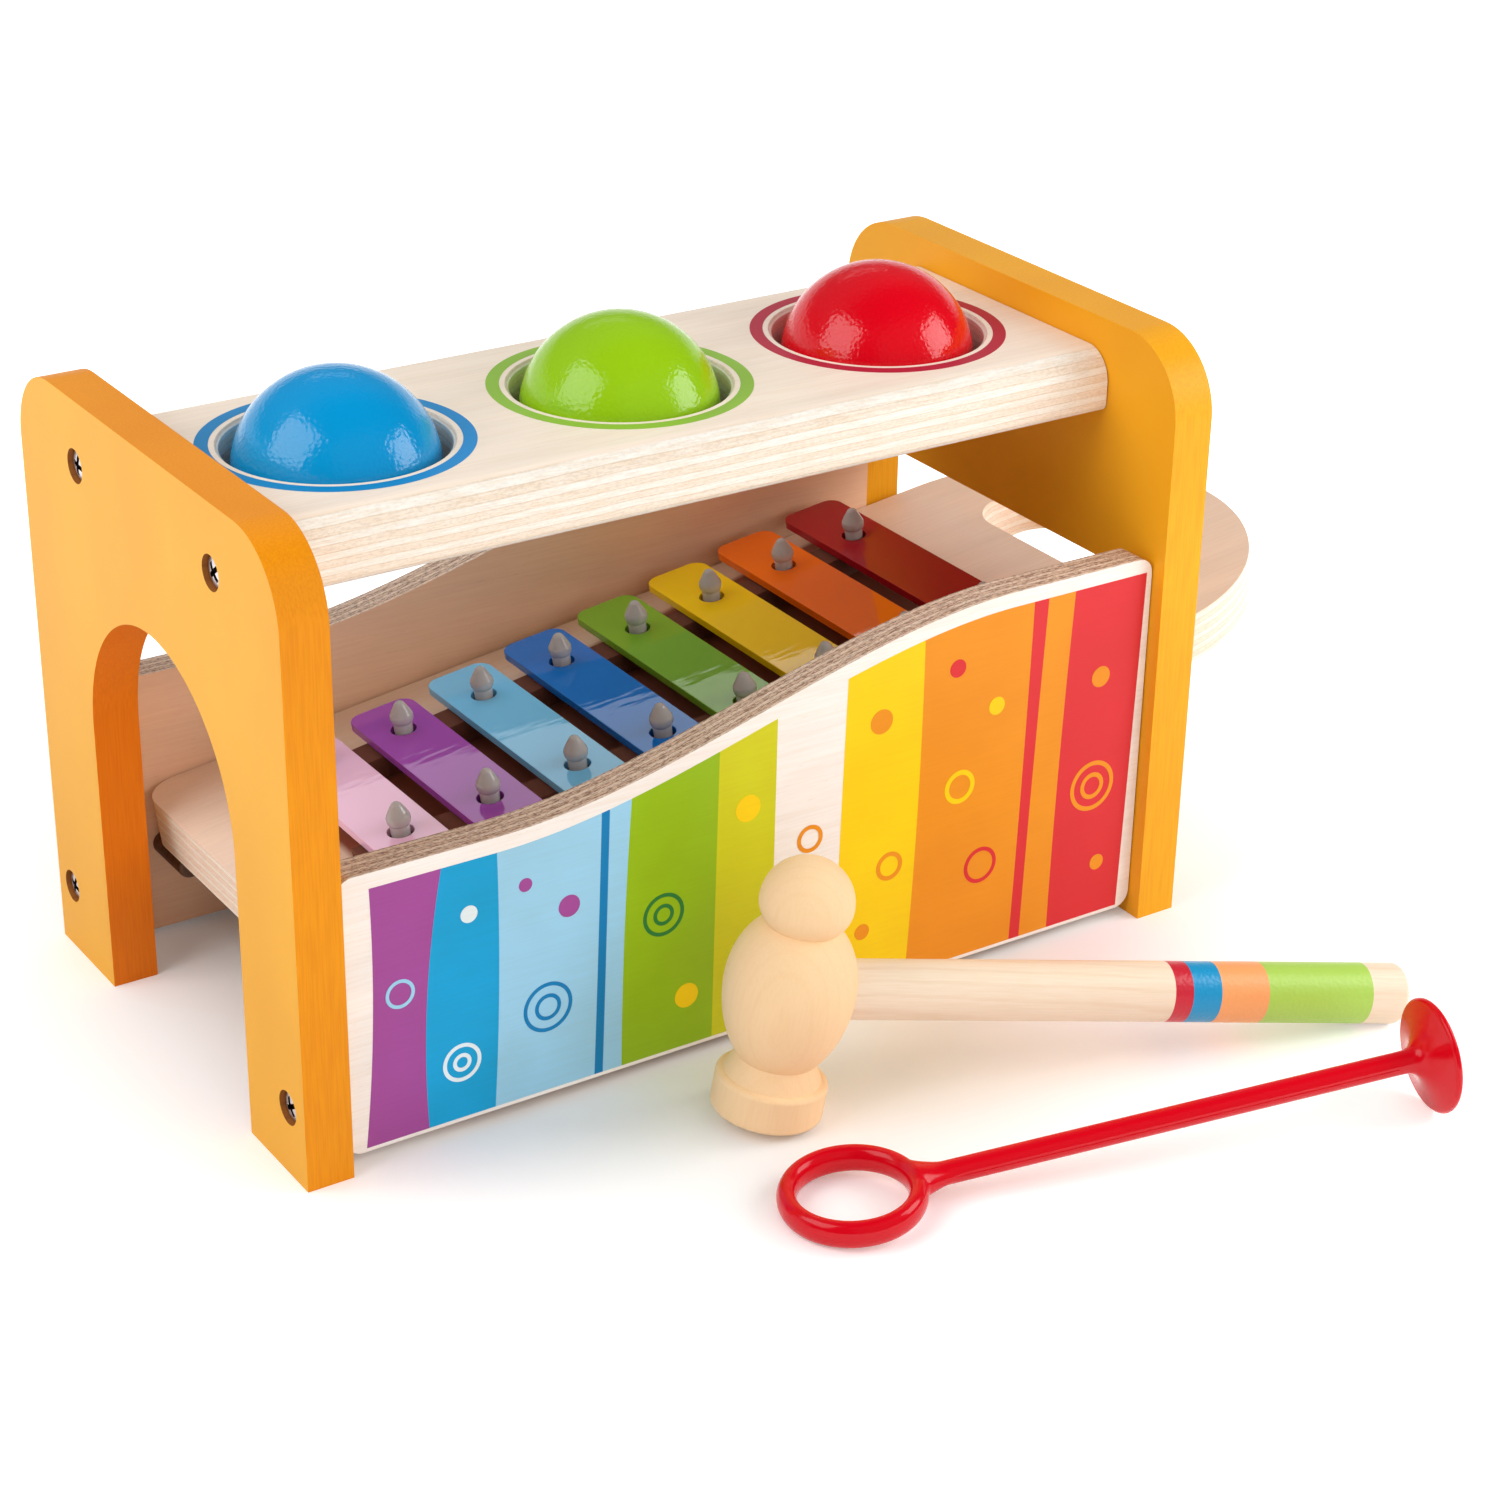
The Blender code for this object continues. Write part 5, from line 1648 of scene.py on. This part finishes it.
@dataclass
class Xylophone:
    """The board that slides out, with its rails, keys and posts."""

    thickness: float = 12.1
    layers: int = 9
    left_reach: float = 100
    right_reach: float = 172.8
    end_length: float = 51.7
    width: float = 103.4
    corner: float = 8
    edge: float = 4.5
    slot_reach: float = 122.2
    slot_length: float = 25.5
    slot_width: float = 62.2
    slot_corner: float = 10
    key_start: float = -68.2
    key_pitch: float = 21.8505
    key_width: float = 16.4
    key_length: float = 62.3
    key_step: float = 4.75
    key_top: float = 8.2
    key_thickness: float = 2
    key_edge: float = 0.45
    post_start: float = 19.1
    post_step: float = 1.12
    post_hole: float = 2.4
    rail_width: float = 8
    rail_end: float = 2
    rail_gaps: Point = (0.3, 0.6)

    def key_place(self, index: int) -> float:
        """Returns the X of a key."""
        return self.key_start + self.key_pitch * index

    def post_reach(self, x: float) -> float:
        """Returns how far the posts stand from the middle line at a place along X."""
        return self.post_start + self.post_step * (x - self.key_start) / self.key_pitch

    def build(self) -> None:
        """Makes the board, the rails, the keys and the posts."""
        self.build_board()
        self.build_rails()
        tree = key_tree()
        places, nodes = [], []
        for index, colour in enumerate(KEY_ENAMELS):
            self.build_key(index, colour, tree)
            x = self.key_place(index)
            places += [(x, face.value * self.post_reach(x), 0) for face in Face]
            nodes += [f"key_post_{colour}_{face.name.lower()}" for face in Face]
        posts = post_tree().grow("egg_headed_posts", points_mesh("posts", places), POST_PLASTIC)
        settle(posts, XYLOPHONE)
        hand_over(posts, "xylophone", [POST_PLASTIC], nodes, 50)

    def build_board(self) -> None:
        """Makes the board with its round pull end and its finger slot."""
        half = self.width / 2
        shoulder = self.right_reach - self.end_length
        nose = arc((shoulder, 0), (self.end_length, half), -QUARTER, QUARTER, 72)
        corners = [(-self.left_reach, y, self.corner) for y in (half, -half)]
        outline = rounded([(x, y, 0) for x, y in nose] + corners)
        middle = (self.slot_reach + self.slot_length / 2, 0)
        slot = rectangle(middle, (self.slot_length, self.slot_width), self.slot_corner)
        board = plate("plywood_xylophone_board", [outline, slot], self.thickness)
        soften(board, self.edge, 8)
        settle(board, XYLOPHONE @ at(0, 0, -self.thickness / 2))
        finish = Plywood(
            "birch_plywood_xylophone",
            "FADFC8",
            into=XYLOPHONE,
            start=-self.thickness,
            pitch=self.thickness / self.layers,
            thick=Axis.Z,
            long_grain="FFF4E6",
            end_grain="FBE6D2",
            glue="EFD2B6",
            contrast=0.12,
            # The painted shade on the strip under the keys
            painted_key_shade="96553E",
        )
        hand_over(board, "xylophone", [finish], ["xylophone_board"])

    def build_rails(self) -> None:
        """Makes the two dark rails under the keys."""
        places = [self.key_place(index) for index in range(len(KEY_ENAMELS))]
        reach = self.key_width / 2 + self.rail_end
        below, above = self.rail_gaps
        height = self.key_top - self.key_thickness - above
        for face in Face:
            outline = []
            for x, away in ((places[0] - reach, -1), (places[-1] + reach, 1)):
                y, half = face.value * self.post_reach(x), away * self.rail_width / 2
                outline += [(x, y - half), (x, y + half)]
            hole, chords = (self.post_hole, self.post_hole), 31
            full = 2 * math.pi * chords / (chords + 1)
            spots = [(x, face.value * self.post_reach(x)) for x in places]
            holes = [arc(spot, hole, 0, full, chords) for spot in spots]
            name = face.name.lower()
            rail = plate(f"felt_rail_{name}", [outline, *holes], height)
            settle(rail, XYLOPHONE @ at(0, 0, below + height / 2))
            hand_over(rail, "xylophone", [RAIL_FELT], [f"key_rail_{name}"])

    def build_key(self, index: int, colour: str, tree: Tree) -> None:
        """Makes one key.

        Args:
            index: Its place up the slope.
            colour: Its colour's name.
            tree: The key's tree.
        """
        x, enamel = self.key_place(index), KEY_ENAMELS[colour]
        holes = points_mesh("key", [(0, face.value * self.post_reach(x), 0) for face in Face])
        length = self.key_length + self.key_step * index
        key = tree.grow(f"enamelled_key_{colour}", holes, enamel, Length=length)
        clean(key.data)
        soften(key, self.key_edge, 3)
        settle(key, XYLOPHONE @ at(x, 0, self.key_top - self.key_thickness))
        name = f"key_{colour}"
        hand_over(key, "xylophone", [enamel], [name])


# Hammer and beater


@dataclass
class Hammer:
    """The turned hammer: a head like a skittle, and a banded handle.

    Attributes:
        base: Like neck, bulb, upper_neck and cap, a radius and its height on the head.
        shoulder: The radii of the rounding above the base.
        top: The head's height.
        handle_height: Where the handle stands on the head.
        reach: From the head's axis to the handle's end.
        radii: The handle's radii near the head and at its end.
        bands: Where the bare wood and then each painted band ends.
        glue_gap: The bore's room round the tenon.
        bore: The length of the bore.
    """

    base: Point = (12.3, 8.8)
    base_edge: float = 1.2
    shoulder: Point = (1.6, 1.2)
    neck: Point = (8.7, 13.2)
    bulb: Point = (14.3, 30.2)
    upper_neck: Point = (8.0, 44.8)
    cap: Point = (10.2, 49.9)
    top: float = 60
    handle_height: float = 29.3
    reach: float = 147.4
    radii: Point = (6.5, 6.97)
    end_round: float = 1.6
    bands: tuple[float, ...] = (88.1, 92.5, 99.5, 111.3, 137.6)
    tenon: float = 7
    glue_gap: float = 0.3
    bore: float = 40

    @staticmethod
    def swelling(middle: Point, above: Point, below: Point) -> Outline:
        """Returns the profile of a swelling between two narrower places, top first.

        Args:
            middle: The widest radius and its height.
            above: The radius and height of its upper end.
            below: The radius and height of its lower end.

        Returns:
            The profile.
        """
        points: Outline = []
        for (radius, height), upper in ((above, True), (below, False)):
            angle = math.acos(radius / middle[0])
            radii = (middle[0], abs(height - middle[1]) / math.sin(angle))
            start, stop = (angle, 0) if upper else (0, -angle)
            half = arc((0, middle[1]), radii, start, stop, 24)
            points += half if upper else half[1:]
        return points

    def build(self) -> None:
        """Makes the head and the handle."""
        self.build_head()
        self.build_handle()

    def build_head(self) -> None:
        """Makes the head, with the bore that the handle is glued in."""
        cap = self.swelling(self.cap, (0, self.top), self.upper_neck)
        bulb = self.swelling(self.bulb, self.upper_neck, self.neck)
        (radius, height), edge, (wide, high) = self.base, self.base_edge, self.shoulder
        shoulder = arc((radius - wide, height - high), self.shoulder, QUARTER, 0, 6)
        foot = arc((radius - edge, edge), (edge, edge), 0, -QUARTER, 6)
        profile = [(0, self.top), *cap[1:], *bulb[1:], *shoulder, *foot, (0, 0)]
        head = turned("turned_hammer_head", profile, 96)
        wide = self.radii[0] + self.glue_gap
        bore = turned("handle_bore", [(0, 0), (wide, 0), (wide, self.bore), (0, self.bore)], 64)
        cut(head, settle(bore, at(-self.tenon - self.glue_gap, 0, self.handle_height) @ LYING))
        upright = HAMMER @ Matrix.Rotation(-QUARTER, 4, "Y")
        finish = TurnedWood("turned_beech_head", "FBD6A6", 0.6, upright, "F3C58C", 0.12)
        hand_over(settle(head, HAMMER), "hammer", [finish], ["hammer_head"])

    def build_handle(self) -> None:
        """Makes the handle, whose painted bands are rows of its own faces."""
        near, far = self.radii
        edge, start = self.end_round, self.bulb[0]
        profile: Outline = [(0, -self.tenon), (near, -self.tenon)]
        for stop in (*self.bands, self.reach - edge):
            share = (stop - start) / (self.reach - start)
            profile.append((near + (far - near) * share, stop))
        profile += arc((far - edge, self.reach - edge), (edge, edge), 0, QUARTER, 8)[1:]
        profile.append((0, self.reach))
        marks = [0, *range(len(self.bands))]
        marks += [0] * (len(profile) - 1 - len(marks))
        handle = turned("banded_hammer_handle", profile, 96, marks)
        settle(handle, HAMMER @ at(0, 0, self.handle_height) @ LYING)
        finishes = [
            TurnedWood("clear_coated_beech_handle", "F6E1C7", 0.34, HAMMER, "E4C39C", 0.22),
            GlossLacquer("red_band_paint", "CE1F33", 0.3),
            GlossLacquer("blue_band_paint", "0E96CB", 0.3),
            GlossLacquer("orange_band_paint", "F9A765", 0.36),
            GlossLacquer("green_band_paint", "AFD557", 0.36),
        ]
        hand_over(handle, "hammer", finishes, ["hammer_handle"])


@dataclass
class Beater:
    """The moulded beater: ring, rod and round disc in one.

    Attributes:
        length: From the ring's middle to the disc's.
        ring: The radius of the ring's middle line.
        rod: The rod's radius.
        disc: The disc's radius.
        web: The widening between ring and rod: its length, its extra radius and its fall.
        web_flat: The web's height as a share of its width.
        horn: The disc's flare: how far it starts from the back, its length, and two powers.
        disc_edge: The radii of the disc's round edge.
        line: The mould's parting line: its gaps at the ring and the disc, its rise and its width.
        overlap: How far one part starts inside the next.
        voxel: The mesh size of the skin.
    """

    length: float = 133.5
    ring: float = 13.6
    ring_width: float = 4.3
    ring_height: float = 6.2
    rod: float = 2.6
    disc: float = 12.9
    disc_thickness: float = 1.8
    web: tuple[float, float, float] = (12.5, 3.2, 2.2)
    web_flat: float = 0.72
    horn: tuple[float, float, float, float] = (9.2, 7.6, 0.62, 2.4)
    disc_edge: Point = (0.75, 0.85)
    line: tuple[float, float, float, float] = (7, 9, 0.12, 0.3)
    overlap: float = 0.5
    voxel: float = 0.42

    def build(self) -> None:
        """Makes the beater as one skin, with its parting line."""
        beater = join("moulded_beater", [self.ring_part(), self.web_part(), self.stem_part()])
        remesh = beater.modifiers.new("one_skin", "REMESH")
        remesh.mode = "VOXEL"
        remesh.voxel_size = self.voxel * MM
        smooth = beater.modifiers.new("moulded_corners", "SMOOTH")
        smooth.factor = 0.5
        smooth.iterations = 8
        bake_modifiers(beater)
        whole = join("moulded_beater", [beater, self.parting_line()])
        whole.name = "moulded_beater"
        settle(whole, BEATER)
        hand_over(whole, "beater", [RED_PLASTIC], ["beater"], 60)

    def ring_part(self) -> Thing:
        """Returns the ring, which lies flat.

        Returns:
            The ring.
        """
        radii = (self.ring_width / 2, self.ring_height / 2)
        return turned("ring", arc((self.ring, 0), radii, 0, 2 * math.pi, 32), 96)

    def web_part(self) -> Thing:
        """Returns the smooth widening between the ring and the rod.

        Returns:
            The widening.
        """
        length, extra, fall = self.web
        start, steps = self.ring - self.overlap, 12
        shares = [step / steps for step in range(steps + 1)]
        side = [(self.rod + extra * (1 - s) ** fall, start + length * s) for s in shares]
        web = turned("web", [(0, start), *side, (0, start + length)], 48)
        return settle(web, Matrix.Diagonal((1, 1, self.web_flat, 1)) @ LYING)

    def stem_part(self) -> Thing:
        """Returns the rod and the disc at its end, which flares like a shallow horn.

        Returns:
            The rod with its disc.
        """
        back = self.length + self.disc_thickness / 2
        far, long, bend, flare = self.horn
        steps = 20
        shares = [step / steps for step in range(steps + 1)]
        wide = self.disc - self.overlap - self.rod
        horn = [(self.rod + wide * s**flare, back - far + long * s**bend) for s in shares]
        x, y = self.disc_edge
        rim = arc((self.disc - x, back - y), self.disc_edge, -QUARTER, QUARTER, 8)
        profile = [(0, self.ring), (self.rod, self.ring), *horn, *rim, (0, back)]
        return settle(turned("stem", profile, 96), LYING)

    def parting_line(self) -> Thing:
        """Returns the fine raised line that the mould leaves along both sides of the rod.

        Returns:
            The line.
        """
        near, far, rise, thickness = self.line
        start, end = self.ring + near, self.length - far
        middle, size, corner = ((start + end) / 2, 0), (end - start, 2 * (self.rod + rise)), 0.1
        return plate("parting_line", [rectangle(middle, size, corner)], thickness)


# Stage


@dataclass
class Studio:
    """The camera, the soft lamps, the floor and the sky. Angles are in degrees."""

    camera_place: tuple[float, float, float] = (-354.75, -582.63, 380.91)
    azimuth: float = -33.78
    elevation: float = 26.172
    roll: float = 1.003
    field: float = 25.892
    sensor: float = 36
    lamp_aim: tuple[float, float, float] = (7, -25, 70)
    ambient: float = 0.14
    screen: float = 1.1
    screen_gloss: float = 1.25

    def build(self) -> None:
        """Builds the whole stage."""
        self.build_camera()
        self.build_lamp("left_softbox", (-92, 39, 0.8), (0.6, 0.55), 3.3)
        self.build_lamp("right_softbox", (57, 25, 0.55), (0.3, 0.3), 1.25)
        fill = self.build_lamp("front_softbox", (5, 28, 1.5), (2.0, 1.7), 13.5)
        fill.visible_glossy = False
        self.build_floor()
        self.build_sky()
        bpy.context.scene.view_settings.view_transform = "Standard"

    def build_camera(self) -> None:
        """Adds the camera at the photograph's angle."""
        data = bpy.data.cameras.new("camera")
        data.sensor_width = self.sensor
        data.lens = self.sensor / 2 / math.tan(math.radians(self.field) / 2)
        camera = new_object("camera", data)
        turn = Euler((QUARTER - math.radians(self.elevation), 0, math.radians(self.azimuth)))
        roll = Matrix.Rotation(math.radians(self.roll), 4, "Z")
        camera.matrix_world = BENCH @ at(*self.camera_place) @ turn.to_matrix().to_4x4() @ roll
        bpy.context.scene.camera = camera

    def build_lamp(
        self, name: str, way: tuple[float, float, float], size: Point, power: float
    ) -> Thing:
        """Adds a rectangular softbox that faces the bench.

        Args:
            name: The lamp's name.
            way: Its azimuth from the front towards the right, its elevation, and its distance
                in metres.
            size: Its width and height in metres.
            power: Its power in watts.

        Returns:
            The lamp.
        """
        data = bpy.data.lights.new(name, "AREA")
        data.shape = "RECTANGLE"
        data.size, data.size_y = size
        data.energy = power
        lamp = new_object(name, data)
        a, e = math.radians(way[0]), math.radians(way[1])
        out = Vector((math.sin(a) * math.cos(e), -math.cos(a) * math.cos(e), math.sin(e)))
        lamp.location = BENCH @ (Vector(self.lamp_aim) * MM) + out * way[2]
        lamp.rotation_euler = out.to_track_quat("Z", "Y").to_euler()
        return lamp

    def build_floor(self) -> None:
        """Adds a pale floor that the camera and the gloss see as white, with the shadow kept."""
        mesh = bpy.data.meshes.new("studio_floor")
        half = 6
        corners = [(-half, -half, 0), (half, -half, 0), (half, half, 0), (-half, half, 0)]
        mesh.from_pydata(corners, [], [(0, 1, 2, 3)])
        sweep = Surface("white_paper_sweep", BENCH)
        paper = {"Base Color": "FAF8F6", "Roughness": 0.9, "Specular IOR Level": 0.1}
        sweep.feed(sweep.shader, paper)
        # Round the set the floor shows its shadow, and further out it fades to plain white.
        away = sweep.add("ShaderNodeVectorMath", {0: sweep.spot}, operation="LENGTH")
        fade = {0: away, "From Min": 0.09, "From Max": 0.33, "To Min": 0.02}
        glow = sweep.add("ShaderNodeMapRange", fade)
        path = sweep.add("ShaderNodeLightPath").outputs
        rays = {0: path["Is Camera Ray"], 1: path["Is Glossy Ray"]}
        seen = sweep.add("ShaderNodeMath", rays, operation="MAXIMUM")
        lift = sweep.add("ShaderNodeMath", {0: seen, 1: glow}, operation="MULTIPLY")
        white = sweep.add("ShaderNodeEmission", {"Color": WHITE, "Strength": lift})
        both = sweep.add("ShaderNodeAddShader", {0: sweep.shader, 1: white})
        sweep.feed(sweep.tree.nodes["Material Output"], {0: both})
        mesh.materials.append(sweep.material)
        new_object("studio_floor", mesh)

    def build_sky(self) -> None:
        """Lights the set softly from all round; the camera sees plain white."""
        world = bpy.data.worlds.new("studio")
        bpy.context.scene.world = world
        world.use_nodes = True
        sky = Graph(world.node_tree)
        way = sky.add("ShaderNodeTexCoord").outputs["Generated"]
        x, y, z = sky.add("ShaderNodeSeparateXYZ", {0: way}).outputs
        behind = sky.add("ShaderNodeMapRange", {0: y, "From Min": 0.1, "From Max": 0.4})
        # A white screen behind the set, from a third of the way up, lights it through its gaps.
        rise = {0: z, "From Min": 0.42, "From Max": 0.5, "To Max": self.screen}
        lit = {0: behind, 1: sky.add("ShaderNodeMapRange", rise), 2: self.ambient}
        light = sky.add("ShaderNodeMath", lit, operation="MULTIPLY_ADD")
        # Gloss shows the sweep low down, the dark room above it, and the screen's lit middle,
        # which has a crisp lower edge.
        fall = {0: z, "From Min": 0.2, "From Max": 0.34, "To Min": 0.9, "To Max": 0.1}
        dark = {0: behind, 1: sky.add("ShaderNodeMapRange", fall), 2: 0.05}
        room = sky.add("ShaderNodeMath", dark, operation="MULTIPLY_ADD")
        lean = sky.add("ShaderNodeMath", {0: x, 1: y}, operation="DIVIDE")
        ahead = 1e-6
        heights = ((y, 0, ahead), (z, 0.537, 0.539), (z, 0.62, 0.56))
        middle = sky.within((*heights, (lean, 0.12, 0.2), (lean, 0.85, 0.72)))
        mirrored = {0: middle, 1: self.screen_gloss, 2: room}
        shown = sky.add("ShaderNodeMath", mirrored, operation="MULTIPLY_ADD")
        path = sky.add("ShaderNodeLightPath").outputs
        gloss = sky.add("ShaderNodeMix", {0: path["Is Glossy Ray"], 2: light, 3: shown})
        level = sky.add("ShaderNodeMix", {0: path["Is Camera Ray"], 2: gloss, 3: 1})
        sky.feed(sky.tree.nodes["Background"], {"Color": WHITE, "Strength": level})


def main() -> None:
    """Builds every piece in order."""
    logging.basicConfig(level=logging.INFO, format="%(message)s")
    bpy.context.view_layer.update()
    Studio().build()
    panels = [SidePanel(side) for side in Side]
    for panel in panels:
        panel.build()
    Screws(panels).build()
    for face in Face:
        SupportPeg(face).build()
    dress_dowels()
    PoundingBoard().build()
    front = LowPanel(Face.FRONT, 2.5, "FFF6EE")
    front.build()
    # The back panel is tinted pinker and darker than the front, as painted shade for its inner face
    # inside the bench.
    LowPanel(Face.BACK, 1.7, "FFD3B0").build()
    FrontPrint(front).build()
    Xylophone().build()
    Hammer().build()
    Beater().build()


if __name__ == "__main__":
    main()
